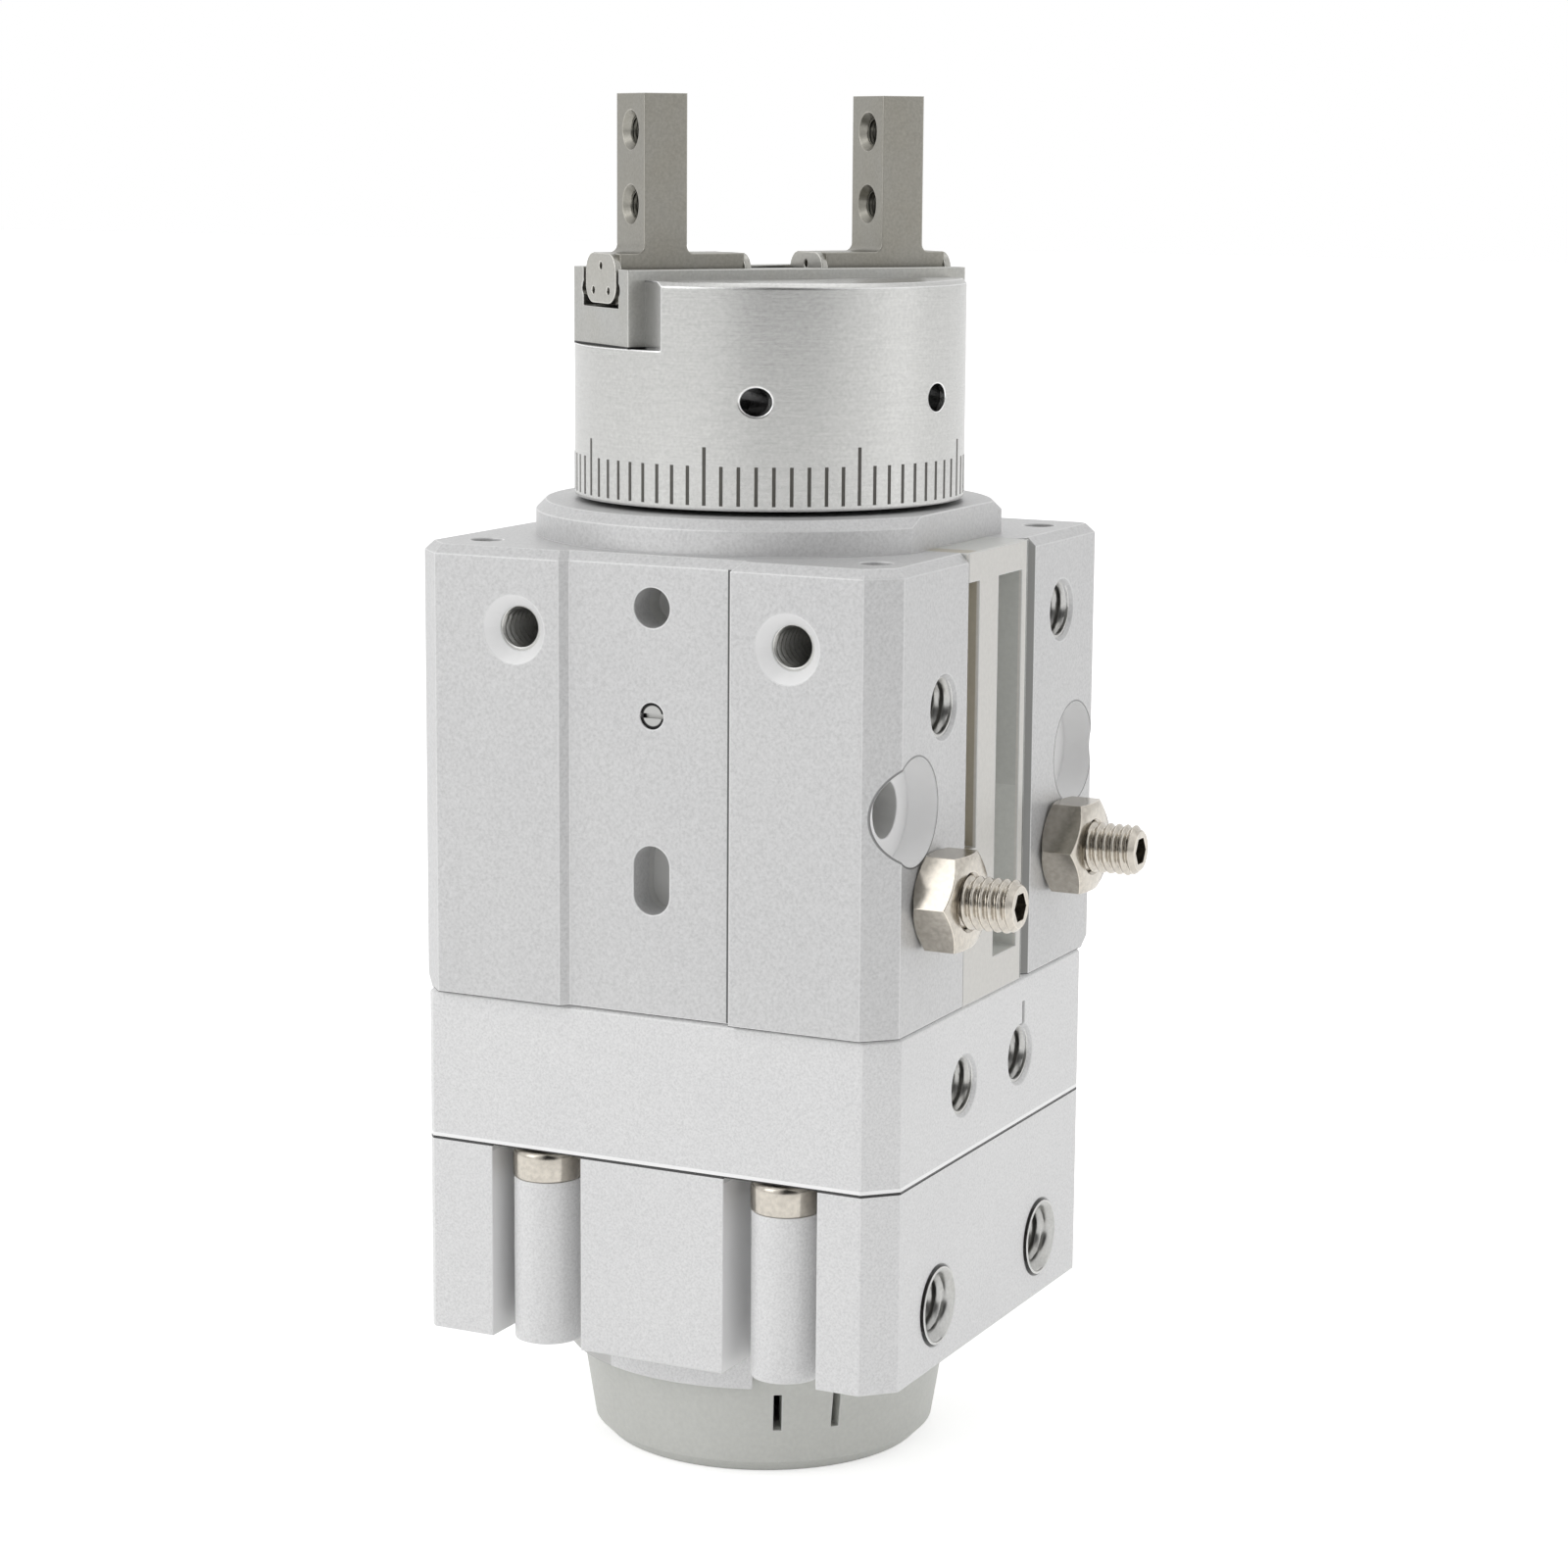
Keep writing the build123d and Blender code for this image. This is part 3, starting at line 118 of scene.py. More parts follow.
class GripperSizes(bpy.types.PropertyGroup):
    """Real sizes of what is added to the bare solids"""

    tick_count: bpy.props.IntProperty(
        name="Graduation lines", description="Lines round the head", default=72, min=4)
    tick_every: bpy.props.IntProperty(
        name="Long line every", description="Short lines from one long line to the next", default=9, min=1)
    tick_width: bpy.props.FloatProperty(
        name="Line width", description="Width of a graduation line", default=0.27 * MM, unit="LENGTH")
    tick_rise: bpy.props.FloatProperty(
        name="Line start", description="From the head's lower edge to the lines", default=0.35 * MM,
        unit="LENGTH")
    tick_short: bpy.props.FloatProperty(
        name="Short line", description="Length of a short line", default=2.9 * MM, unit="LENGTH")
    tick_long: bpy.props.FloatProperty(
        name="Long line", description="Length of a long line", default=4.3 * MM, unit="LENGTH")
    screw_pitch: bpy.props.FloatProperty(
        name="Screw pitch", description="Thread pitch of the adjusting screws", default=0.7 * MM,
        unit="LENGTH")
    screw_thread: bpy.props.FloatProperty(
        name="Screw thread", description="Depth of the screws' thread", default=0.36 * MM, unit="LENGTH")
    screw_bevel: bpy.props.FloatProperty(
        name="Screw bevel", description="Bevel at the screws' ends", default=0.45 * MM, unit="LENGTH")
    screw_socket: bpy.props.FloatProperty(
        name="Screw socket", description="Hexagon socket across flats", default=2.0 * MM, unit="LENGTH")
    screw_socket_depth: bpy.props.FloatProperty(
        name="Socket depth", description="Depth of the screws' socket", default=2.2 * MM, unit="LENGTH")
    nut_flats: bpy.props.FloatProperty(
        name="Nut", description="Lock nut across flats", default=7.0 * MM, unit="LENGTH")
    nut_face: bpy.props.FloatProperty(
        name="Nut face", description="Radius of the nut's turned end faces", default=3.3 * MM, unit="LENGTH")
    bolt_head: bpy.props.FloatProperty(
        name="Bolt head", description="Radius of the housing bolts' heads", default=2.7 * MM, unit="LENGTH")
    bolt_head_height: bpy.props.FloatProperty(
        name="Bolt head height", description="Height of the housing bolts' heads", default=2.3 * MM,
        unit="LENGTH")
    bolt_rod: bpy.props.FloatProperty(
        name="Bolt", description="Radius of the housing bolts", default=1.5 * MM, unit="LENGTH")
    bolt_socket: bpy.props.FloatProperty(
        name="Bolt socket", description="Hexagon socket across flats", default=2.5 * MM, unit="LENGTH")
    bolt_column: bpy.props.FloatProperty(
        name="Bolt column", description="Radius of the round columns under the housing bolts",
        default=3.1 * MM, unit="LENGTH")
    port_pitch: bpy.props.FloatProperty(
        name="Port pitch", description="Thread pitch of the air ports", default=0.8 * MM, unit="LENGTH")
    port_thread: bpy.props.FloatProperty(
        name="Port thread", description="Depth of the ports' thread", default=0.26 * MM, unit="LENGTH")
    front_sink: bpy.props.FloatProperty(
        name="Front countersink", description="Depth of the countersink before a mounting thread",
        default=1.1 * MM, unit="LENGTH")
    front_thread: bpy.props.FloatProperty(
        name="Front thread", description="Length of a mounting thread", default=6.2 * MM, unit="LENGTH")
    seat_radius: bpy.props.FloatProperty(
        name="Bolt seat", description="Radius of the seats for the cross bolts", default=4.02 * MM,
        unit="LENGTH")
    seat_rim: bpy.props.FloatProperty(
        name="Bolt seat rim", description="Width of the grey rim round such a seat", default=0.14 * MM,
        unit="LENGTH")
    seat_depth: bpy.props.FloatProperty(
        name="Bolt seat depth", description="Depth of those seats", default=2.4 * MM, unit="LENGTH")
    finger_pitch: bpy.props.FloatProperty(
        name="Finger pitch", description="Thread pitch in the fingers", default=0.45 * MM, unit="LENGTH")
    edge_round: bpy.props.FloatProperty(
        name="Edge", description="Radius of the body's deburred edges", default=0.24 * MM, unit="LENGTH")
    seam_wide: bpy.props.FloatProperty(
        name="Lower seam", description="Half the gap between block and housing", default=0.11 * MM,
        unit="LENGTH")
    # The bevel above the lower seam carries a painted highlight
    seam_lip: bpy.props.FloatProperty(
        name="Seam lip", description="Height of the bright bevel above the lower seam", default=0.28 * MM,
        unit="LENGTH")
    seam_fine: bpy.props.FloatProperty(
        name="Upper seam", description="Half the gap between body and block", default=0.05 * MM,
        unit="LENGTH")
    panel_edge: bpy.props.FloatProperty(
        name="Panel edge", description="Place of the right front panel's inner edge", default=6.7 * MM,
        unit="LENGTH")
    panel_step: bpy.props.FloatProperty(
        name="Panel step", description="Width of the shaded step at that edge", default=0.46 * MM,
        unit="LENGTH")
    rail_bevel: bpy.props.FloatProperty(
        name="Rail bevel", description="Width of the bevel behind the switch rail", default=1.6 * MM,
        unit="LENGTH")
    rail_slit: bpy.props.FloatProperty(
        name="Rail slit", description="Width of the dark slit behind the switch rail", default=0.2 * MM,
        unit="LENGTH")
    groove_floor: bpy.props.FloatProperty(
        name="Groove floor", description="Least depth of the rail's grooves", default=0.25 * MM,
        unit="LENGTH")
    groove_far: bpy.props.FloatProperty(
        name="Narrow groove", description="From the rail's front edge to its narrow groove's far side",
        default=2.05 * MM, unit="LENGTH")
    # The lower stretch takes the full groove colour, and the groove is drawn darker above it
    groove_dark: bpy.props.FloatProperty(
        name="Dark stretch", description="Height of the wide groove's darker lower stretch",
        default=15.4 * MM, unit="LENGTH")


class GripperColours(bpy.types.PropertyGroup):
    """Colours of the finishes and of the painted light and shade, as sRGB hex values"""

    body: bpy.props.StringProperty(
        name="Upper body", description="Bead-blasted and clear anodised aluminium", default="CCCCCC")
    block: bpy.props.StringProperty(
        name="Lower body", description="Finely blasted and clear anodised aluminium", default="E0E0E0")
    head: bpy.props.StringProperty(
        name="Turned head", description="Fine turned and anodised aluminium", default="C0C0BE")
    # Painted highlight: laid on edges, countersinks, bolt seats, the bevel above the lower seam and channel walls
    edge: bpy.props.StringProperty(
        name="Painted edge highlight", description="Painted highlight on bevels, countersinks, seats and channel walls", default="FAFAFA")
    bore: bpy.props.StringProperty(
        # Flat grey painted inside drilled holes in place of their shade
        name="Bore", description="Inside of drilled holes", default="D0D0CE")
    head_bore_shade: bpy.props.StringProperty(
        # Painted shade inside the head's pin holes
        name="Head bore", description="Inside of the head's pin holes", default="3E3E3C")
    seat_rim: bpy.props.StringProperty(
        name="Seat rim", description="Shaded rim of the cross bolts' seats", default="8A8A8A")
    rail_bevel: bpy.props.StringProperty(
        name="Rail bevel", description="Shaded bevel behind the switch rail", default="8C8C8A")
    panel_step: bpy.props.StringProperty(
        name="Panel step", description="Shaded step at the right front panel", default="5A5A5A")
    seam: bpy.props.StringProperty(
        name="Seam", description="Gap where two bodies meet", default="2E2E2E")
    tapped_body: bpy.props.StringProperty(
        name="Tapped aluminium", description="Bright thread in the body", default="B2B2B0")
    finger: bpy.props.StringProperty(
        name="Ground steel", description="Stainless steel of the fingers", default="918F88")
    tapped_finger: bpy.props.StringProperty(
        name="Tapped steel", description="Dull thread in the fingers", default="5C5B55")
    guide: bpy.props.StringProperty(
        name="Guide steel", description="Hardened steel of the finger guide", default="ACACA9")
    # Painted shade in the gap under the finger guide
    guide_gap_shade: bpy.props.StringProperty(
        name="Guide gap", description="Gap under the finger guide", default="262626")
    plate: bpy.props.StringProperty(
        name="End plate", description="Stamped stainless steel", default="B0AFAA")
    plating: bpy.props.StringProperty(
        name="Nickel plating", description="Plated screws and nuts", default="C4BEB4")
    plug: bpy.props.StringProperty(
        name="Plug", description="Turned steel of the slotted plug", default="A8A8A6")
    # Painted shade in the narrow gap round the slotted plug
    plug_gap_shade: bpy.props.StringProperty(
        name="Plug gap", description="Gap round the slotted plug", default="242424")
    cap: bpy.props.StringProperty(
        name="Cap", description="Moulded end cap", default="D8D9D4")
    rail: bpy.props.StringProperty(
        name="Rail", description="Moulded switch rail", default="DCDAD5")
    rail_slit: bpy.props.StringProperty(
        name="Rail slit", description="Slit behind the switch rail", default="3C3C3A")
    narrow_groove: bpy.props.StringProperty(
        name="Narrow groove", description="Floor of the rail's narrow groove", default="B9B3A4")
    wide_groove: bpy.props.StringProperty(
        name="Wide groove", description="Floor of the rail's wide groove", default="D6D7D3")
    # Painted highlight on the edges of the mouldings
    mould_edge_highlight: bpy.props.StringProperty(
        name="Moulded edge", description="Paler edges of the mouldings", default="E7E7E5")
    mark: bpy.props.StringProperty(
        name="Graduation", description="Dark filling of the graduation lines", default="4E4C47")
    ball: bpy.props.StringProperty(
        name="Bearing steel", description="Polished balls, rings and pins", default="C9C9CB")
    hardened: bpy.props.StringProperty(
        name="Hardened steel", description="Levers, shaft and rod", default="8F8C86")
    machined: bpy.props.StringProperty(
        name="Machined aluminium", description="Vane, piston and stopper", default="C4C4C6")
    magnet: bpy.props.StringProperty(
        name="Magnet", description="Sintered ring magnet", default="3A3A3C")
    seal: bpy.props.StringProperty(
        name="Rubber", description="Nitrile rubber seals", default="1C1C1C")
    bronze: bpy.props.StringProperty(
        name="Bronze", description="Sintered bronze bushes", default="A8834F")
    floor: bpy.props.StringProperty(
        name="Floor", description="Plain pale floor", default="F7F7F7")


class GripperStudio(bpy.types.PropertyGroup):
    """Camera and light"""

    lens: bpy.props.FloatProperty(
        name="Lens", description="Focal length in millimetres", default=85.3)
    heading: bpy.props.FloatProperty(
        name="Heading", description="The camera's turn from +Y", default=radians(26.02), subtype="ANGLE")
    dip: bpy.props.FloatProperty(
        name="Dip", description="How far the camera looks down", default=radians(9.83), subtype="ANGLE")
    roll: bpy.props.FloatProperty(
        name="Roll", description="The camera's lean", default=radians(-0.41), subtype="ANGLE")
    place: bpy.props.FloatVectorProperty(
        name="Place", description="Where the camera stands", default=(0.12694, -0.25711, 0.10141),
        subtype="TRANSLATION", unit="LENGTH")
    key: bpy.props.FloatProperty(
        name="Key", description="Power of the large lamp at the front left", default=0.9, unit="POWER")
    fill: bpy.props.FloatProperty(
        name="Fill", description="Power of the lamp at the rear right", default=0.15, unit="POWER")
    top: bpy.props.FloatProperty(
        name="Top", description="Power of the lamp overhead", default=0.3, unit="POWER")
    surround: bpy.props.FloatProperty(
        name="Surround", description="Brightness of the white surroundings as they light the object",
        default=0.8, min=0, max=1)
    dark_side: bpy.props.FloatProperty(
        name="Dark side", description="Compass angle of the unlit part of the studio",
        default=radians(-55), subtype="ANGLE")
    dark_level: bpy.props.FloatProperty(
        name="Dark level", description="Brightness of that part in a gloss", default=0.03, min=0, max=1)
    dark_share: bpy.props.FloatProperty(
        name="Dark share", description="Brightness of that part as it lights the object", default=0.5,
        min=0, max=1)
    floor_glow: bpy.props.FloatProperty(
        name="Floor glow", description="Light that the floor adds to its own view", default=0.5, min=0)


def linear(colour):
    """An sRGB hex value as linear RGBA"""
    parts = [int(colour[i : i + 2], 16) / 255 for i in (0, 2, 4)]
    return (*[p / 12.92 if p <= 0.04045 else ((p + 0.055) / 1.055) ** 2.4 for p in parts], 1.0)


def shade(colour, factor):
    """An sRGB hex value as linear RGBA, made lighter or darker"""
    return (*[min(1.0, c * factor) for c in linear(colour)[:3]], 1.0)


def tones(colour, *shares):
    """Stops of a colour ramp, from pairs of a place and a factor of the colour"""
    return [(place, shade(colour, factor)) for place, factor in shares]


def set_stops(elements, stops):
    """Gives a new colour ramp its stops"""
    elements[0].position, elements[0].color = stops[0]
    elements[1].position, elements[1].color = stops[-1]
    for place, colour in stops[1:-1]:
        elements.new(place).color = colour


def connect(node, **links):
    """Puts a value on each named socket, or links an output to it; i2 is the input with that number"""
    for name, value in links.items():
        socket = node.inputs[int(name[1:]) if name[1:].isdigit() else name.replace("_", " ")]
        if isinstance(value, bpy.types.NodeSocket):
            node.id_data.links.new(value, socket)
        else:
            socket.default_value = value


def add_node(tree, kind, settings=None, **links):
    """A shader node with its settings and its links"""
    node = tree.nodes.new(kind)
    for name, value in (settings or {}).items():
        if name == "stops":
            set_stops(node.color_ramp.elements, value)
        else:
            setattr(node, name, value)
    connect(node, **links)
    return node


def per_metre(size):
    """Scale of a pattern whose features have that size in metres"""
    return 1 / size


def blank_material(name):
    """An empty material with its surface shader and the object coordinates"""
    material = bpy.data.materials.new(name)
    material.use_nodes = True
    tree = material.node_tree
    tree.nodes.clear()
    shader = add_node(tree, "ShaderNodeBsdfPrincipled")
    add_node(tree, "ShaderNodeOutputMaterial", None, Surface=shader.outputs["BSDF"])
    place = add_node(tree, "ShaderNodeTexCoord").outputs["Object"]
    return material, tree, shader, place


def edge_mask(tree, radius):
    """Rounded normal of the edges, and a mask that is 1 on them"""
    normal = add_node(tree, "ShaderNodeBevel", {"samples": 8}, Radius=radius).outputs["Normal"]
    true = add_node(tree, "ShaderNodeNewGeometry").outputs["Normal"]
    likeness = add_node(
        tree, "ShaderNodeVectorMath", {"operation": "DOT_PRODUCT"}, i0=normal, i1=true).outputs["Value"]
    mask = add_node(tree, "ShaderNodeMapRange", None, Value=likeness, From_Min=0.995, From_Max=0.9)
    return normal, mask.outputs["Result"]


def layered(tree, colour, *layers):
    """A colour with others laid over it in turn, each where its mask is 1"""
    for mask, layer in layers:
        colour = add_node(
            tree, "ShaderNodeMix", {"data_type": "RGBA"}, i0=mask, i6=colour, i7=layer).outputs[2]
    return colour


def stained(tree, tone, pattern, share, tint, low=0.3):
    """A tone that takes on a share of a tint where a pattern is low"""
    stain = add_node(tree, "ShaderNodeValToRGB", {"stops": [(low, tint), (1 - low, WHITE)]}, Fac=pattern)
    return add_node(
        tree, "ShaderNodeMix", {"data_type": "RGBA", "blend_type": "MULTIPLY"}, i0=share, i6=tone,
        i7=stain.outputs["Color"]).outputs[2]


def zone(tree, *ranges, mask=None):
    """A mask that is 1 where each value lies between its two limits, within another mask if one is given"""
    for value, low, high in ranges:
        inside = add_node(
            tree, "ShaderNodeMath", {"operation": "COMPARE"}, i0=value, i1=(low + high) / 2,
            i2=(high - low) / 2).outputs[0]
        mask = inside if mask is None else add_node(
            tree, "ShaderNodeMath", {"operation": "MULTIPLY"}, i0=mask, i1=inside).outputs[0]
    return mask


def upright(tree):
    """A mask that is 1 on upright walls"""
    true = add_node(tree, "ShaderNodeNewGeometry").outputs["True Normal"]
    rise = add_node(tree, "ShaderNodeSeparateXYZ", None, i0=true).outputs["Z"]
    return zone(tree, (rise, -0.5, 0.5))


def from_axis(tree, place, centre, plane):
    """Distance of a place from an axis through a centre; plane is 1 across the axis and 0 along it"""
    offset = add_node(tree, "ShaderNodeVectorMath", {"operation": "SUBTRACT"}, i0=place, i1=centre)
    flat = add_node(
        tree, "ShaderNodeVectorMath", {"operation": "MULTIPLY"}, i0=offset.outputs[0], i1=plane)
    length = add_node(tree, "ShaderNodeVectorMath", {"operation": "LENGTH"}, i0=flat.outputs[0])
    return length.outputs["Value"]


def hide_seam(tree, spot, level, normal, edges):
    """The rounded normal and the edge mask, left plain near a level where two flush bodies meet"""
    reach = 0.3 * MM
    near = zone(tree, (spot["Z"], level - reach, level + reach))
    true = add_node(tree, "ShaderNodeNewGeometry").outputs["Normal"]
    plain = add_node(tree, "ShaderNodeMix", {"data_type": "VECTOR"}, i0=near, i4=normal, i5=true)
    kept = add_node(tree, "ShaderNodeMix", {"data_type": "FLOAT"}, i0=near, i2=edges, i3=0.0)
    return plain.outputs[1], kept.outputs[0]


def countersinks(tree, spot, across, sizes):
    """A mask that is 1 in the countersinks of the two front threads"""
    front = mount["front_threads"]
    reach = 3 * MM
    middle = front["dims"]["spacing_x_mm"] * MM / 2
    height = front["pos_m"][2]
    return zone(
        tree, (across, middle - reach, middle + reach), (spot["Z"], height - reach, height + reach),
        (spot["Y"], upper_low.y + HAIR, upper_low.y + sizes.front_sink))


def channel_walls(tree, spot, across, sizes, half_x):
    """A mask that is 1 on the walls of the bolts' channels that face sideways, but not on the columns"""
    true = add_node(tree, "ShaderNodeNewGeometry").outputs["True Normal"]
    sideways = add_node(tree, "ShaderNodeSeparateXYZ", None, i0=true).outputs["X"]
    facing = add_node(tree, "ShaderNodeMath", {"operation": "ABSOLUTE"}, i0=sideways).outputs[0]
    channel_top = block_low.z - 0.5 * MM
    walls = zone(
        tree, (facing, 0.9, 1.1), (spot["X"], -half_x, half_x), (spot["Z"], 0.0, channel_top))
    bolt_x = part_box("housing_bolts")[1].x - sizes.bolt_head
    column = zone(tree, (across, bolt_x - sizes.bolt_column, bolt_x + sizes.bolt_column))
    return add_node(
        tree, "ShaderNodeMix", {"data_type": "FLOAT"}, i0=column, i2=walls, i3=0.0).outputs[0]


def blasted_aluminium(
        name, colour, colours, sizes, seams, bores, grit, metallic, hidden_seam=None, paint_channel_light=False):
    """Clear anodised aluminium, blasted: an even sparkle, with a painted highlight on the edges.

    The real grit is about 0.1 mm and is drawn at twice that, so that it shows. Countersinks, the cross
    bolts' seats, the bevel above the lower seam and, if asked for, the sideways walls of the bolts' channels
    get painted highlight too, and drilled holes are dull inside, with a flat grey painted in place of their
    shade. The seats' rims, the bevel behind the switch rail and the right front panel's step get painted
    shade. Where two bodies meet, the narrow gap between their bevels is a dark line.
    """
    material, tree, shader, place = blank_material(name)
    spot = add_node(tree, "ShaderNodeSeparateXYZ", None, i0=place).outputs
    across = add_node(tree, "ShaderNodeMath", {"operation": "ABSOLUTE"}, i0=spot["X"]).outputs[0]
    normal, edges = edge_mask(tree, sizes.edge_round)
    if hidden_seam is not None:
        normal, edges = hide_seam(tree, spot, hidden_seam, normal, edges)
    tilted = add_node(tree, "ShaderNodeMapping", None, Vector=place, Rotation=GRAIN_TILT).outputs[0]
    grain = add_node(
        tree, "ShaderNodeTexNoise", None, Vector=tilted, Scale=per_metre(grit), Detail=3.0,
        Roughness=0.6).outputs["Fac"]
    cloud = add_node(
        tree, "ShaderNodeTexNoise", None, Vector=place, Scale=per_metre(9 * MM), Detail=2.0).outputs["Fac"]
    tone = add_node(
        tree, "ShaderNodeValToRGB", {"stops": tones(colour, (0.32, 0.88), (0.5, 1.0), (0.7, 1.1))},
        Fac=grain).outputs["Color"]

    bolts = mount["cross_holes"]
    bolt_centre = (0, bolts["dims"]["spacing_x_mm"] * MM / 2, bolts["pos_m"][2])
    mirrored = add_node(tree, "ShaderNodeVectorMath", {"operation": "ABSOLUTE"}, i0=place).outputs[0]
    from_bolt = from_axis(tree, mirrored, bolt_centre, (0, 1, 1))
    right = upper_high.x
    # The cross bolts' seats and the front countersinks get the same painted highlight as the edges
    seat = zone(
        tree, (from_bolt, 0.0, sizes.seat_radius),
        (spot["X"], right - sizes.seat_depth - SKIN, right - SKIN))
    for cut in (countersinks(tree, spot, across, sizes), seat):
        edges = add_node(tree, "ShaderNodeMath", {"operation": "MAXIMUM"}, i0=edges, i1=cut).outputs[0]
    # Inside the drilled holes a flat grey, painted in place of their shade, on a dull surface
    half_x, half_y, below = bores
    inside = zone(
        tree, (spot["X"], -half_x, half_x), (spot["Y"], -half_y, half_y), (spot["Z"], 0.0, below))
    bright = linear(colours.edge)
    layers = [(edges, bright), (inside, linear(colours.bore))]
    # Painted light on the sideways walls of the bolts' channels, which lie in shade
    if paint_channel_light:
        layers.append((channel_walls(tree, spot, across, sizes, half_x), bright))
    rim = zone(
        tree, (from_bolt, sizes.seat_radius, sizes.seat_radius + sizes.seat_rim),
        (spot["X"], right - sizes.seat_depth, right + SKIN))
    layers.append((rim, linear(colours.seat_rim)))
    rail_bevel = zone(
        tree, (spot["X"], right + SKIN - sizes.rail_bevel, right - HAIR),
        (spot["Y"], rail_high.y + SKIN, rail_high.y + sizes.rail_bevel),
        (spot["Z"], upper_low.z + SKIN, upper_high.z - SKIN))
    layers.append((rail_bevel, linear(colours.rail_bevel)))
    walls = upright(tree)
    # Above each seam a painted highlight on the bevel, then the dark gap line
    for level, half, lip in seams:
        bevel = zone(tree, (spot["Z"], level, level + half + lip), mask=walls)
        line = zone(tree, (spot["Z"], level - half, level + half), mask=walls)
        layers += [(bevel, bright), (line, linear(colours.seam))]
    step = zone(
        tree, (spot["X"], sizes.panel_edge - sizes.panel_step, sizes.panel_edge),
        (spot["Y"], block_low.y - SKIN, block_low.y + SKIN),
        (spot["Z"], upper_low.z + 2 * SKIN, upper_high.z))
    layers.append((step, linear(colours.panel_step)))

    rough = add_node(
        tree, "ShaderNodeMapRange", None, Value=grain, To_Min=0.38, To_Max=0.5).outputs["Result"]
    smooth = add_node(
        tree, "ShaderNodeMix", {"data_type": "FLOAT"}, i0=edges, i2=rough, i3=0.25).outputs[0]
    dull = add_node(tree, "ShaderNodeMath", {"operation": "MAXIMUM"}, i0=inside, i1=edges).outputs[0]
    metal = add_node(
        tree, "ShaderNodeMapRange", None, Value=dull, To_Min=metallic, To_Max=0.0).outputs["Result"]
    bump = add_node(
        tree, "ShaderNodeBump", None, Strength=0.25, Distance=0.02 * MM, Height=grain, Normal=normal)
    cloudy = stained(tree, tone, cloud, 0.3, CLOUD_TINT)
    connect(
        shader, Base_Color=layered(tree, cloudy, *layers), Metallic=metal, Roughness=smooth,
        Normal=bump.outputs["Normal"])
    return material


def turned_aluminium(name, colours):
    """Anodised aluminium off the lathe: hair-fine rings round the axis that stretch each reflection upwards.

    The real feed marks are about 0.05 mm apart and are drawn at twice that, so that they show. The
    edges get a painted highlight, and the pin holes a painted shade inside.
    """
    material, tree, shader, place = blank_material(name)
    height = add_node(tree, "ShaderNodeSeparateXYZ", None, i0=place).outputs["Z"]
    normal, edges = edge_mask(tree, 0.26 * MM)
    depth = from_axis(tree, place, (0, 0, 0), (1, 1, 0))
    turned = add_node(tree, "ShaderNodeCombineXYZ", None, X=depth, Z=height).outputs[0]
    along = add_node(
        tree, "ShaderNodeVectorMath", {"operation": "MULTIPLY_ADD"}, i0=place, i1=RING_DRIFT,
        i2=turned).outputs[0]
    rings = add_node(
        tree, "ShaderNodeTexNoise", None, Vector=along, Scale=per_metre(0.12 * MM), Detail=3.0)
    grain = add_node(
        tree, "ShaderNodeTexNoise", None, Vector=place, Scale=per_metre(0.25 * MM), Detail=3.0)
    marks = add_node(
        tree, "ShaderNodeMix", {"data_type": "FLOAT"}, i0=0.6, i2=rings.outputs["Fac"],
        i3=grain.outputs["Fac"]).outputs[0]
    tone = add_node(
        tree, "ShaderNodeValToRGB", {"stops": tones(colours.head, (0.35, 0.9), (0.65, 1.07))}, Fac=marks)
    wall = 0.6 * MM
    below_guide = 0.2 * MM
    # Painted shade inside the head's pin holes, and a painted highlight on the edges
    shaded_bores = zone(tree, (depth, 0.0, head_radius - wall), (height, 0.0, guide_low.z - below_guide))
    surface = layered(
        tree, tone.outputs["Color"], (edges, linear(colours.edge)), (shaded_bores, linear(colours.head_bore_shade)))
    bump = add_node(
        tree, "ShaderNodeBump", None, Strength=0.2, Distance=0.012 * MM, Height=marks, Normal=normal)
    connect(
        shader, Base_Color=surface, Metallic=0.95, Roughness=0.27, Anisotropic=0.6,
        Normal=bump.outputs["Normal"])
    return material


def ground_steel(name, colour, roughness=0.36, under_shade=None):
    """Ground metal: duller than the blasted aluminium, with a faint warm mottling.

    The real grinding marks are about 0.1 mm and are drawn at twice that, so that they show. The
    edges get a painted highlight. The shade under a screwed-down piece, if given, is the level and the colour
    of a painted shade in the gap under it.
    """
    material, tree, shader, place = blank_material(name)
    normal, edges = edge_mask(tree, 0.16 * MM)
    grain = add_node(
        tree, "ShaderNodeTexNoise", None, Vector=place, Scale=per_metre(0.22 * MM), Detail=4.0,
        Roughness=0.65).outputs["Fac"]
    stain = add_node(
        tree, "ShaderNodeTexNoise", None, Vector=place, Scale=per_metre(3 * MM), Detail=3.0).outputs["Fac"]
    tone = add_node(
        tree, "ShaderNodeValToRGB", {"stops": tones(colour, (0.3, 0.88), (0.7, 1.1))}, Fac=grain)
    warm = stained(tree, tone.outputs["Color"], stain, 0.4, STAIN_TINT, low=0.35)
    # Painted highlight on the edges
    layers = [(edges, shade(colour, 1.6))]
    # Painted shade in the gap under a screwed-down piece
    if under_shade is not None:
        level, under_shade_colour = under_shade
        height = add_node(tree, "ShaderNodeSeparateXYZ", None, i0=place).outputs["Z"]
        gap = zone(tree, (height, level, level + 0.16 * MM), mask=upright(tree))
        layers.append((gap, linear(under_shade_colour)))
    bump = add_node(
        tree, "ShaderNodeBump", None, Strength=0.2, Distance=0.02 * MM, Height=grain, Normal=normal)
    connect(
        shader, Base_Color=layered(tree, warm, *layers), Metallic=1.0, Roughness=roughness,
        Normal=bump.outputs["Normal"])
    return material


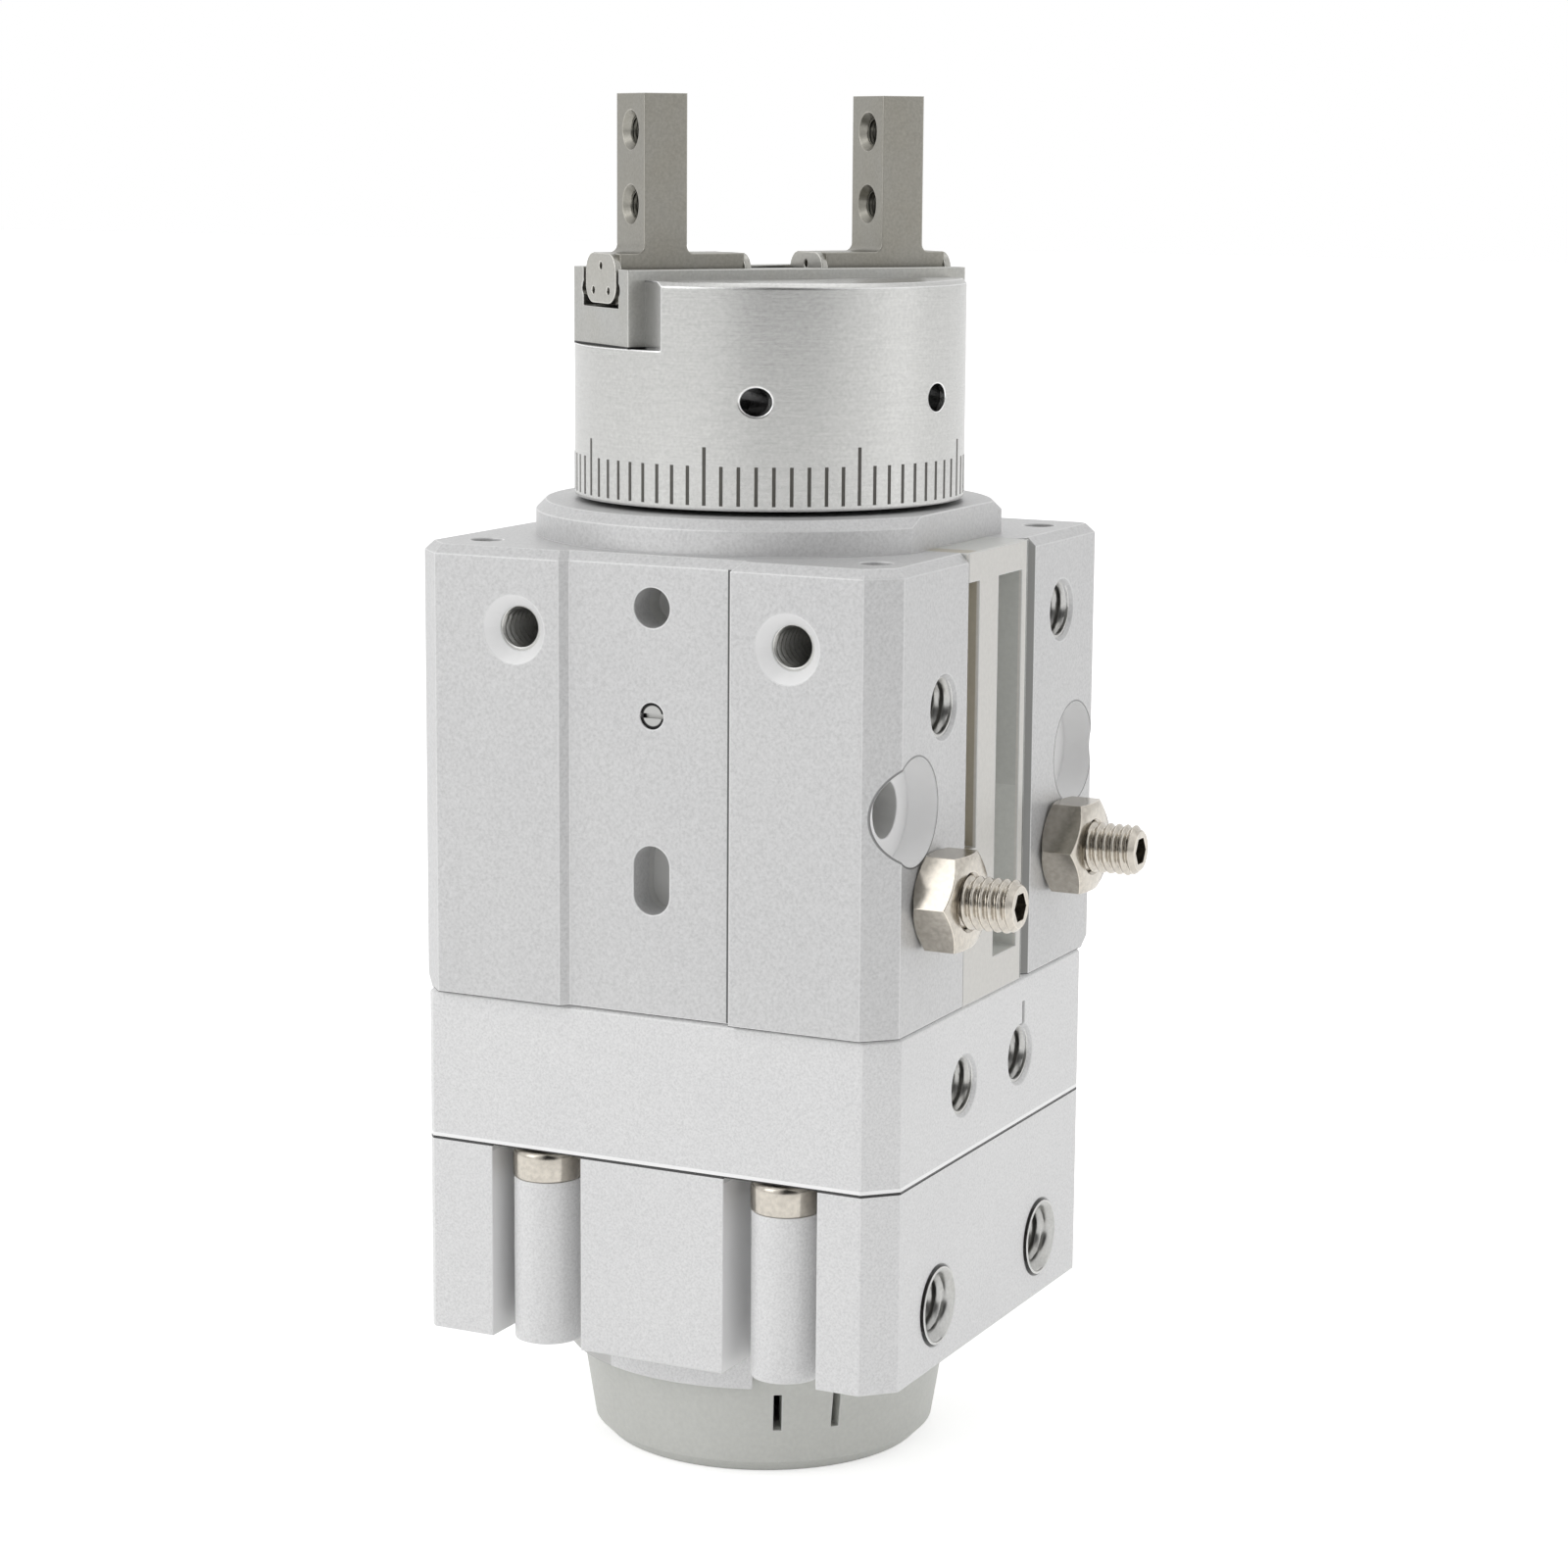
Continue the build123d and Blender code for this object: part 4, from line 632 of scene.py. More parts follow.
def nickel_plate(name, colour):
    """Nickel-plated steel: glossy, slightly yellow, with a faint haze and painted highlights on the edges"""
    material, tree, shader, place = blank_material(name)
    normal, edges = edge_mask(tree, 0.1 * MM)
    haze = add_node(
        tree, "ShaderNodeTexNoise", None, Vector=place, Scale=per_metre(0.4 * MM), Detail=4.0).outputs["Fac"]
    tone = add_node(
        tree, "ShaderNodeValToRGB", {"stops": tones(colour, (0.35, 0.82), (0.65, 1.0))}, Fac=haze)
    rough = add_node(tree, "ShaderNodeMapRange", None, Value=haze, To_Min=0.14, To_Max=0.28)
    connect(
        shader, Base_Color=layered(tree, tone.outputs["Color"], (edges, shade(colour, 1.5))), Metallic=1.0,
        Roughness=rough.outputs["Result"], Normal=normal)
    return material


def moulded_plastic(name, tone_of, edge, roughness=0.5):
    """Moulded engineering plastic with the eroded grain of its mould, drawn at its real 0.35 mm"""
    material, tree, shader, place = blank_material(name)
    normal, edges = edge_mask(tree, 0.2 * MM)
    grain = add_node(
        tree, "ShaderNodeTexNoise", None, Vector=place, Scale=per_metre(0.35 * MM),
        Detail=3.0).outputs["Fac"]
    grained = stained(tree, tone_of(tree, place), grain, 1.0, MOULD_TINT)
    bump = add_node(
        tree, "ShaderNodeBump", None, Strength=0.3, Distance=0.02 * MM, Height=grain, Normal=normal)
    # Painted highlight on the edges
    connect(
        shader, Base_Color=layered(tree, grained, (edges, linear(edge))), Roughness=roughness,
        Normal=bump.outputs["Normal"])
    return material


def rail_tone(colours, sizes):
    """Colour of the switch rail: pale faces, a beige narrow groove, a grey wide one, darker higher up"""

    def tone_of(tree, place):
        spot = add_node(tree, "ShaderNodeSeparateXYZ", None, i0=place).outputs
        sunk = zone(tree, (spot["X"], rail_low.x, rail_high.x - sizes.groove_floor))
        narrow = zone(tree, (spot["Y"], rail_low.y, rail_low.y + sizes.groove_far))
        low = zone(tree, (spot["Z"], rail_low.z, rail_low.z + sizes.groove_dark))
        slit = zone(tree, (spot["Y"], rail_high.y - sizes.rail_slit, rail_high.y + SKIN))
        grooves = layered(
            tree, shade(colours.wide_groove, 0.9), (low, linear(colours.wide_groove)),
            (narrow, linear(colours.narrow_groove)))
        return layered(tree, linear(colours.rail), (slit, linear(colours.rail_slit)), (sunk, grooves))

    return tone_of


def cap_tone(colours):
    """Colour of the end cap, with slight clouds from the mould's flow"""

    def tone_of(tree, place):
        flow = add_node(tree, "ShaderNodeTexNoise", None, Vector=place, Scale=per_metre(6 * MM), Detail=2.0)
        return add_node(
            tree, "ShaderNodeValToRGB", {"stops": tones(colours.cap, (0.3, 0.96), (0.7, 1.0))},
            Fac=flow.outputs["Fac"]).outputs["Color"]

    return tone_of


def plain_finish(name, colour, metallic, roughness):
    """Seals, bushes and inner parts: an even colour with a fine surface texture"""
    material, tree, shader, place = blank_material(name)
    grain = add_node(
        tree, "ShaderNodeTexNoise", None, Vector=place, Scale=per_metre(0.4 * MM), Detail=3.0).outputs["Fac"]
    tone = add_node(
        tree, "ShaderNodeValToRGB", {"stops": tones(colour, (0.3, 0.88), (0.7, 1.08))}, Fac=grain)
    bump = add_node(tree, "ShaderNodeBump", None, Strength=0.2, Distance=0.02 * MM, Height=grain)
    connect(
        shader, Base_Color=tone.outputs["Color"], Metallic=metallic, Roughness=roughness,
        Normal=bump.outputs["Normal"])
    return material


def plug_steel(name, colours):
    """Bright turned steel of the slotted plug, with painted shade in the narrow gap round it"""
    material, tree, shader, place = blank_material(name)
    low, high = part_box("plug_screw")
    gap_start = 0.72 * MM
    gap_full = 0.8 * MM
    away = from_axis(tree, place, (low + high) / 2, (1, 0, 1))
    # Painted shade at the plug's rim, in the gap round it
    gap = add_node(tree, "ShaderNodeMapRange", None, Value=away, From_Min=gap_start, From_Max=gap_full)
    surface = layered(tree, linear(colours.plug), (gap.outputs["Result"], linear(colours.plug_gap_shade)))
    connect(shader, Base_Color=surface, Metallic=1.0, Roughness=0.3)
    return material


def finish(nodes, material):
    """Gives solids of the frame their finish"""
    for name in nodes:
        mesh = frame["nodes"][name].data
        mesh.materials.clear()
        mesh.materials.append(material)


def add_piece(name, mesh_builder, material, body, smooth=True):
    """A new piece from a bmesh, riding on its body"""
    mesh = bpy.data.meshes.new(name)
    mesh_builder.normal_update()
    mesh_builder.to_mesh(mesh)
    mesh_builder.free()
    piece = bpy.data.objects.new(name, mesh)
    bpy.context.scene.collection.objects.link(piece)
    mesh.materials.append(material)
    if smooth:
        mesh.shade_smooth()
        mesh.set_sharp_from_angle(angle=SHARP_ANGLE)
    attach(piece, body)
    return piece


def gather(builders):
    """Several bmeshes as one"""
    whole = bmesh.new()
    for builder in builders:
        scratch = bpy.data.meshes.new("scratch")
        builder.to_mesh(scratch)
        builder.free()
        whole.from_mesh(scratch)
        bpy.data.meshes.remove(scratch)
    return whole


def ring(mesh, radius, z, segments):
    """Vertices round +Z; the radius and the height are numbers or functions of the angle"""
    vertices = []
    for i in range(segments):
        angle = 2 * pi * i / segments
        r = radius(angle) if callable(radius) else radius
        height = z(angle) if callable(z) else z
        vertices.append(mesh.verts.new((r * cos(angle), r * sin(angle), height)))
    return vertices


def join_rings(mesh, rings):
    """Quads between neighbouring rings of vertices"""
    for low, high in zip(rings, rings[1:]):
        for i in range(len(low)):
            k = (i + 1) % len(low)
            mesh.faces.new((low[i], low[k], high[k], high[i]))


def hex_radius(angle, flats):
    """Distance from the middle of a hexagon to its edge in one direction"""
    return flats / 2 / cos(angle % (pi / 3) - pi / 6)


def groove(z, angle, pitch):
    """How deep a helical thread is at a point, from 0 on its crest to 1 in its root"""
    phase = (z / pitch - angle / (2 * pi)) % 1
    return max(0.0, 1 - abs(phase - 0.5) * THREAD_FLANK)


def frame_of(origin, axis):
    """A matrix that carries local +Z to an axis at a place"""
    turn = Vector(axis).to_track_quat("Z", "Y").to_matrix().to_4x4()
    return Matrix.Translation(origin) @ turn


def threaded_rod(length, radius, pitch, depth, bevel, socket, socket_depth, segments=48, steps=8):
    """A set screw along +Z from 0: a helical thread, bevelled ends and a hexagon socket at the far end"""
    mesh = bmesh.new()
    count = round(length / pitch * steps)
    rings = []
    for row in range(count + 1):
        z = length * row / count
        limit = radius - max(0.0, bevel - min(z, length - z))
        rings.append(ring(
            mesh, lambda angle: min(limit, radius - depth * groove(z, angle, pitch)), z, segments))
    mesh.faces.new(rings[0])
    for z in (length, length - socket_depth):
        rings.append(ring(mesh, lambda angle: hex_radius(angle, socket), z, segments))
    join_rings(mesh, rings)
    mesh.faces.new(rings[-1])
    bmesh.ops.recalc_face_normals(mesh, faces=mesh.faces)
    return mesh


def hex_nut(height, flats, bore, face_radius, segments=96):
    """A nut along +Z from 0, with the curved chamfers that turning leaves on its corners"""
    mesh = bmesh.new()
    bevel = 0.25 * MM

    def corner(angle):
        return hex_radius(angle, flats)

    def slope(angle):
        return max(0.0, corner(angle) - face_radius) * NUT_CHAMFER_SLOPE

    rings = [
        ring(mesh, bore, bevel, segments),
        ring(mesh, bore + bevel, 0.0, segments),
        ring(mesh, face_radius, 0.0, segments),
        ring(mesh, corner, slope, segments),
        ring(mesh, corner, lambda angle: height - slope(angle), segments),
        ring(mesh, face_radius, height, segments),
        ring(mesh, bore + bevel, height, segments),
        ring(mesh, bore, height - bevel, segments),
    ]
    join_rings(mesh, rings + [rings[0]])
    bmesh.ops.recalc_face_normals(mesh, faces=mesh.faces)
    return mesh


def cap_screw(head_radius, head_height, rod_radius, length, socket, pitch, segments=96):
    """A socket head screw along +Z: a knurled head with a round rim above 0 and a threaded rod below"""
    mesh = bmesh.new()
    knurl = 0.05 * MM
    rim = 0.35 * MM
    bevel = 0.12 * MM
    thread = 0.2 * MM
    mouth_share = 0.62
    depth = 0.55 * head_height

    def knurled(angle):
        return head_radius - knurl * (round(angle * segments / (2 * pi)) % 2)

    steps = round(length / pitch * 6)
    rings = [
        ring(mesh, lambda angle: rod_radius - thread * groove(z, angle, pitch), z, segments)
        for z in (-length + length * row / steps for row in range(steps + 1))
    ]
    mesh.faces.new(rings[0])
    rings += [
        ring(mesh, head_radius - knurl - bevel, 0.0, segments),
        ring(mesh, head_radius - knurl, bevel, segments),
        ring(mesh, knurled, 2 * bevel, segments),
        ring(mesh, knurled, head_height - rim - bevel, segments),
    ]
    for turn in (0.0, 0.25, 0.5, 0.75, 1.0):
        angle = turn * pi / 2
        rings.append(ring(
            mesh, head_radius - knurl - rim * (1 - cos(angle)), head_height - rim * (1 - sin(angle)),
            segments))
    rings.append(ring(mesh, socket * mouth_share, head_height, segments))
    for z in (head_height - bevel, head_height - depth):
        rings.append(ring(mesh, lambda angle: hex_radius(angle, socket), z, segments))
    join_rings(mesh, rings)
    mesh.faces.new(rings[-1])
    bmesh.ops.recalc_face_normals(mesh, faces=mesh.faces)
    return mesh


def thread_lining(length, radius, pitch, depth, mouth, segments=40, steps=6):
    """The thread inside a tapped hole, along +Z from 0, as a closed sleeve set into the hole's wall.

    The mouth is how far the thread runs on up the countersink beyond the straight wall.
    """
    mesh = bmesh.new()
    buried = 0.03 * MM
    count = round((length + mouth) / pitch * steps)
    rings = []
    for row in range(count + 1):
        z = (length + mouth) * row / count
        wall = radius + max(0.0, z - length)
        rings.append(ring(mesh, lambda angle: wall - depth * (1 - groove(z, angle, pitch)), z, segments))
    rings.append(ring(mesh, radius + mouth + buried, length + mouth, segments))
    rings.append(ring(mesh, radius + buried, length, segments))
    rings += [ring(mesh, radius + buried, 0.0, segments), rings[0]]
    join_rings(mesh, rings)
    bmesh.ops.recalc_face_normals(mesh, faces=mesh.faces)
    return mesh


def line_hole(name, spot, axis, length, radius, pitch, depth, material, body, mouth=0.0):
    """Sets a thread into a straight hole, centred on a place"""
    lining = thread_lining(length, radius, pitch, depth, mouth)
    lining.transform(frame_of(Vector(spot) - Vector(axis) * length / 2, axis))
    add_piece(name, lining, material, body)


class GRIPPER_OT_body(bpy.types.Operator):
    """Anodised body, with the threads of its tapped holes"""

    bl_idname = "gripper.body"
    bl_label = "Body"

    def execute(self, context):
        colours = context.scene.gripper_colours
        sizes = context.scene.gripper_sizes
        self.finish_bodies(colours, sizes)
        self.line_holes(colours, sizes)
        return {"FINISHED"}

    def finish_bodies(self, colours, sizes):
        """Coarser blasting on the upper body, finer on the two lower ones"""
        wall = 2.5 * MM
        inner_x = block_high.x - wall / 2
        inner_y = block_high.y - wall
        between_channels = 14.4 * MM
        lower_seam = (block_low.z, sizes.seam_wide, sizes.seam_lip)
        upper_seam = (upper_low.z, sizes.seam_fine, 0.0)
        upper = blasted_aluminium(
            "bead_blasted_anodised_aluminium", colours.body, colours, sizes, [upper_seam],
            (block_high.x - wall, inner_y, upper_high.z - MM), grit=0.24 * MM, metallic=0.3)
        finish(("upper_body", "bearing_cover"), upper)
        fine = blasted_aluminium(
            "fine_blasted_anodised_aluminium", colours.block, colours, sizes, [lower_seam, upper_seam],
            (inner_x, inner_y, upper_low.z), grit=0.18 * MM, metallic=0.15)
        finish(("port_block",), fine)
        housing = blasted_aluminium(
            "fine_blasted_anodised_housing", colours.block, colours, sizes, [lower_seam],
            (inner_x, between_channels, block_low.z - MM), grit=0.18 * MM, metallic=0.15,
            hidden_seam=cover_low.z, paint_channel_light=True)
        finish(("vane_housing", "vane_cover"), housing)

    def line_holes(self, colours, sizes):
        """Threads in the air ports and in the two front holes; the drive ports' threads run on furthest"""
        cut = ground_steel("tapped_aluminium", colours.tapped_body, roughness=0.3)
        port_mouth = 0.2 * MM
        drive_mouth = 0.85 * MM
        for name in ("front_port", "rear_port", "block_port_front", "block_port_rear", "drive_port_front",
                     "drive_port_rear"):
            port = mount[name]
            dims = port["dims"]
            mouth = drive_mouth if name.startswith("drive") else port_mouth
            line_hole(
                name + "_thread", port["pos_m"], port["axis"], dims["length_mm"] * MM, dims["r_mm"] * MM,
                sizes.port_pitch, sizes.port_thread, cut, "root", mouth)
        front = mount["front_threads"]
        depth = sizes.front_sink + sizes.front_thread / 2
        for side, name in ((-1, "left"), (1, "right")):
            x = side * front["dims"]["spacing_x_mm"] * MM / 2
            spot = Vector((front["pos_m"][0] + x, upper_low.y + depth, front["pos_m"][2]))
            line_hole(
                f"front_thread_{name}", spot, front["axis"], sizes.front_thread,
                front["dims"]["hole_r_mm"] * MM, sizes.screw_pitch, sizes.port_thread, cut, "root")


class GRIPPER_OT_head(bpy.types.Operator):
    """Turned head and its graduation"""

    bl_idname = "gripper.head"
    bl_label = "Head"

    def execute(self, context):
        colours = context.scene.gripper_colours
        sizes = context.scene.gripper_sizes
        finish(("gripper_head",), turned_aluminium("turned_anodised_aluminium", colours))
        head_gap = 0.4 * MM
        sunk = 0.1 * MM
        proud = 0.015 * MM
        low = ring_top + head_gap + sizes.tick_rise
        half = sizes.tick_width / 2 / head_radius
        marks = bmesh.new()
        for n in range(sizes.tick_count):
            angle = head_angle + 2 * pi * n / sizes.tick_count
            length = sizes.tick_long if n % sizes.tick_every == 0 else sizes.tick_short
            corners = [
                marks.verts.new((r * cos(turn), r * sin(turn), z))
                for r in (head_radius - sunk, head_radius + proud)
                for turn in (angle - half, angle + half)
                for z in (low, low + length)
            ]
            for face in (
                (0, 1, 3, 2), (4, 6, 7, 5), (0, 4, 5, 1), (2, 3, 7, 6), (0, 2, 6, 4), (1, 5, 7, 3),
            ):
                marks.faces.new([corners[i] for i in face])
        bmesh.ops.recalc_face_normals(marks, faces=marks.faces)
        ink = plain_finish("dark_filled_engraving", colours.mark, 0.0, 0.5)
        add_piece("graduation", marks, ink, "head", smooth=False)
        return {"FINISHED"}


class GRIPPER_OT_fingers(bpy.types.Operator):
    """Fingers, guide and the ends of the slides"""

    bl_idname = "gripper.fingers"
    bl_label = "Fingers"

    def execute(self, context):
        colours = context.scene.gripper_colours
        sizes = context.scene.gripper_sizes
        finish(("left_finger", "right_finger"), ground_steel("ground_stainless_steel", colours.finger))
        guide = ground_steel(
            "ground_guide_steel", colours.guide, roughness=0.32, under_shade=(guide_low.z, colours.guide_gap_shade))
        finish(("finger_guide",), guide)
        finish(("left_end_plates", "right_end_plates"), ground_steel("stamped_end_plate", colours.plate))
        tapped = ground_steel("tapped_stainless_steel", colours.tapped_finger)
        thread = 0.14 * MM
        for side in ("left", "right"):
            for level in ("upper", "lower"):
                name = f"{side}_finger_{level}_thread"
                hole = mount[name]
                dims = hole["dims"]
                line_hole(
                    name, hole["pos_m"], hole["axis"], dims["length_mm"] * MM, dims["r_mm"] * MM,
                    sizes.finger_pitch, thread, tapped, f"{side}_finger")
        return {"FINISHED"}


class GRIPPER_OT_mouldings(bpy.types.Operator):
    """End cap and switch rail"""

    bl_idname = "gripper.mouldings"
    bl_label = "Mouldings"

    def execute(self, context):
        colours = context.scene.gripper_colours
        sizes = context.scene.gripper_sizes
        finish(("end_cap",), moulded_plastic("moulded_nylon", cap_tone(colours), colours.mould_edge_highlight))
        acetal = moulded_plastic(
            "moulded_acetal", rail_tone(colours, sizes), colours.mould_edge_highlight, roughness=0.4)
        finish(("switch_rail",), acetal)
        return {"FINISHED"}


class GRIPPER_OT_fasteners(bpy.types.Operator):
    """Screws and nuts, with threads and turned chamfers"""

    bl_idname = "gripper.fasteners"
    bl_label = "Fasteners"

    def execute(self, context):
        colours = context.scene.gripper_colours
        sizes = context.scene.gripper_sizes
        nickel = nickel_plate("nickel_plated_steel", colours.plating)
        finish(("plug_screw",), plug_steel("turned_plug_steel", colours))
        finish(("body_bolts", "arm_screw", "rod_nut", "guide_screws", "lock_nuts",
                "housing_bolts", "front_adjust_screw", "rear_adjust_screw"), nickel)
        self.make_adjusters(sizes, nickel)
        self.make_housing_bolts(sizes, nickel)
        return {"FINISHED"}

    def make_adjusters(self, sizes, nickel):
        """The two adjusting screws and their lock nuts"""
        rod_gap = 0.02 * MM
        nuts = []
        nut_low, nut_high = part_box("lock_nuts")
        for end in ("front", "rear"):
            node = f"{end}_adjust_screw"
            low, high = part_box(node)
            middle = (low + high) / 2
            radius = (high.y - low.y) / 2
            rod = threaded_rod(
                high.x - low.x, radius, sizes.screw_pitch, sizes.screw_thread, sizes.screw_bevel,
                sizes.screw_socket, sizes.screw_socket_depth)
            rod.transform(frame_of(Vector((low.x, middle.y, middle.z)), (1, 0, 0)))
            piece = add_piece(f"{end}_adjust_screw_threaded", rod, nickel, node)
            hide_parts(node)
            nut = hex_nut(nut_high.x - nut_low.x, sizes.nut_flats, radius + rod_gap, sizes.nut_face)
            nut.transform(frame_of(Vector((nut_low.x, middle.y, middle.z)), (1, 0, 0)))
            nuts.append(nut)
        piece = add_piece("chamfered_lock_nuts", gather(nuts), nickel, "root")
        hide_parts("lock_nuts")

    def make_housing_bolts(self, sizes, nickel):
        """The four socket head bolts that hold the housing"""
        low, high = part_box("housing_bolts")
        seat = high.z - sizes.bolt_head_height
        screws = []
        for x in (low.x + sizes.bolt_head, high.x - sizes.bolt_head):
            for y in (low.y + sizes.bolt_head, high.y - sizes.bolt_head):
                screw = cap_screw(
                    sizes.bolt_head, sizes.bolt_head_height, sizes.bolt_rod, seat - low.z,
                    sizes.bolt_socket, sizes.screw_pitch)
                screw.transform(Matrix.Translation((x, y, seat)))
                screws.append(screw)
        piece = add_piece("knurled_housing_bolts", gather(screws), nickel, "root")
        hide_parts("housing_bolts")


class GRIPPER_OT_inner_parts(bpy.types.Operator):
    """Drive, bearing, piston and levers inside"""

    bl_idname = "gripper.inner_parts"
    bl_label = "Inner parts"

    def execute(self, context):
        colours = context.scene.gripper_colours
        finish(("left_guide_balls", "right_guide_balls", "bearing_balls", "bearing_inner_ring",
                "bearing_outer_ring", "lever_pins"),
               plain_finish("polished_bearing_steel", colours.ball, 1.0, 0.15))
        finish(("left_lever", "right_lever", "vane_shaft", "stop_arm", "piston_rod"),
               ground_steel("hardened_steel", colours.hardened))
        finish(("lower_bush", "upper_bush", "stem_bush"),
               plain_finish("sintered_bronze", colours.bronze, 0.9, 0.45))
        finish(("vane", "piston", "piston_cap", "vane_stopper"),
               plain_finish("machined_aluminium", colours.machined, 0.95, 0.3))
        finish(("vane_seal", "stem_seals", "rod_seal", "piston_seal", "shaft_seals"),
               plain_finish("nitrile_rubber", colours.seal, 0.0, 0.6))
        finish(("piston_magnet",), plain_finish("sintered_magnet", colours.magnet, 0.6, 0.5))
        return {"FINISHED"}


def area_lamp(name, place, size, power):
    """A soft rectangular lamp that faces the object"""
    data = bpy.data.lights.new(name, "AREA")
    data.shape = "RECTANGLE"
    data.size, data.size_y = size
    data.energy = power
    lamp = bpy.data.objects.new(name, data)
    lamp.location = place
    lamp.rotation_euler = (Vector(LIT_POINT) - Vector(place)).to_track_quat("-Z", "Y").to_euler()
    bpy.context.scene.collection.objects.link(lamp)


def seen_ray(tree, path):
    """A mask that is 1 for what the camera, a gloss or a glass shows"""
    seen = path["Is Camera Ray"]
    for kind in ("Is Glossy Ray", "Is Transmission Ray"):
        seen = add_node(
            tree, "ShaderNodeMath", {"operation": "MAXIMUM"}, i0=seen, i1=path[kind]).outputs[0]
    return seen


class GRIPPER_OT_stage(bpy.types.Operator):
    """Floor, soft light and the camera"""

    bl_idname = "gripper.stage"
    bl_label = "Stage"

    def execute(self, context):
        scene = context.scene
        studio = scene.gripper_studio
        self.lay_floor(scene, studio, scene.gripper_colours)
        self.light(scene, studio)
        self.set_camera(scene, studio)
        scene.view_settings.view_transform = "Standard"
        return {"FINISHED"}

    def lay_floor(self, scene, studio, colours):
        """A plain pale floor that glows a little, so that it meets the white background"""
        half_side = 3.0
        grid = bmesh.new()
        bmesh.ops.create_grid(grid, x_segments=4, y_segments=4, size=half_side)
        mesh = bpy.data.meshes.new("floor")
        grid.to_mesh(mesh)
        grid.free()
        floor = bpy.data.objects.new("floor", mesh)
        floor.location.z = cad_box[0].z - 0.05 * MM
        scene.collection.objects.link(floor)
        material, tree, shader, place = blank_material("matte_white_floor")
        pale = add_node(tree, "ShaderNodeTexNoise", None, Vector=place, Scale=per_metre(400 * MM))
        tone = add_node(
            tree, "ShaderNodeValToRGB", {"stops": tones(colours.floor, (0.3, 1.0), (0.7, 1.01))},
            Fac=pale.outputs["Fac"])
        seen = seen_ray(tree, add_node(tree, "ShaderNodeLightPath").outputs)
        glow = add_node(tree, "ShaderNodeMath", {"operation": "MULTIPLY"}, i0=seen, i1=studio.floor_glow)
        connect(
            shader, Base_Color=tone.outputs["Color"], Roughness=0.9, Emission_Color=WHITE,
            Emission_Strength=glow.outputs[0])
        mesh.materials.append(material)

    def light(self, scene, studio):
        """White all round, dimmer towards one side, with three soft lamps"""
        world = bpy.data.worlds.new("studio")
        scene.world = world
        world.use_nodes = True
        tree = world.node_tree
        tree.nodes.clear()
        path = add_node(tree, "ShaderNodeLightPath").outputs
        way = add_node(tree, "ShaderNodeTexCoord").outputs["Generated"]
        flat_way = add_node(
            tree, "ShaderNodeVectorMath", {"operation": "MULTIPLY"}, i0=way, i1=(1, 1, 0)).outputs[0]
        compass = add_node(
            tree, "ShaderNodeVectorMath", {"operation": "NORMALIZE"}, i0=flat_way).outputs[0]
        dark_way = (cos(studio.dark_side), sin(studio.dark_side), 0)
        towards = add_node(
            tree, "ShaderNodeVectorMath", {"operation": "DOT_PRODUCT"}, i0=compass,
            i1=dark_way).outputs["Value"]
        # Cosines of the turns from the dark side where it begins and where it is full
        begins, full = 0.78, 0.95
        lighting, gloss = [
            add_node(
                tree, "ShaderNodeMapRange", None, Value=towards, From_Min=begins, From_Max=full,
                To_Min=1.0, To_Max=dark).outputs["Result"]
            for dark in (studio.dark_share, studio.dark_level)
        ]
        level = add_node(
            tree, "ShaderNodeMix", {"data_type": "FLOAT"}, i0=path["Is Glossy Ray"], i2=lighting,
            i3=gloss).outputs[0]
        white = add_node(
            tree, "ShaderNodeMix", {"data_type": "FLOAT"}, i0=path["Is Camera Ray"], i2=level,
            i3=1.0).outputs[0]
        share = add_node(
            tree, "ShaderNodeMapRange", None, Value=seen_ray(tree, path), To_Min=studio.surround,
            To_Max=1.0).outputs["Result"]
        strength = add_node(
            tree, "ShaderNodeMath", {"operation": "MULTIPLY"}, i0=white, i1=share).outputs[0]
        background = add_node(tree, "ShaderNodeBackground", None, Color=WHITE, Strength=strength)
        add_node(tree, "ShaderNodeOutputWorld", None, Surface=background.outputs[0])
        for name, (place, size) in LAMPS.items():
            area_lamp(name, place, size, getattr(studio, name))

    def set_camera(self, scene, studio):
        """The camera of the front view"""
        heading, dip, roll = studio.heading, studio.dip, studio.roll
        ahead = Vector((-sin(heading) * cos(dip), cos(heading) * cos(dip), -sin(dip)))
        right = Vector((cos(heading), sin(heading), 0))
        down = ahead.cross(right)
        across = cos(roll) * right + sin(roll) * down
        up = sin(roll) * right - cos(roll) * down
        data = bpy.data.cameras.new("camera")
        data.lens = studio.lens
        data.sensor_width = 36
        camera = bpy.data.objects.new("camera", data)
        turn = Matrix((across, up, -ahead)).transposed().to_4x4()
        camera.matrix_world = Matrix.Translation(Vector(studio.place)) @ turn
        scene.collection.objects.link(camera)
        scene.camera = camera


STEPS = (
    GRIPPER_OT_body,
    GRIPPER_OT_head,
    GRIPPER_OT_fingers,
    GRIPPER_OT_mouldings,
    GRIPPER_OT_fasteners,
    GRIPPER_OT_inner_parts,
    GRIPPER_OT_stage,
)


class GRIPPER_PT_panel(bpy.types.Panel):
    """Lists the pieces of the gripper"""

    bl_idname = "GRIPPER_PT_panel"
    bl_label = "Gripper"
    bl_space_type = "VIEW_3D"
    bl_region_type = "UI"
    bl_category = "Gripper"

    def draw(self, context):
        for step in STEPS:
            self.layout.operator(step.bl_idname)


GROUPS = {
    "gripper_sizes": GripperSizes,
    "gripper_colours": GripperColours,
    "gripper_studio": GripperStudio,
}


def register():
    """Adds the sizes, the operators and the panel"""
    for cls in (*GROUPS.values(), *STEPS, GRIPPER_PT_panel):
        bpy.utils.register_class(cls)
    for name, group in GROUPS.items():
        setattr(bpy.types.Scene, name, bpy.props.PointerProperty(type=group))


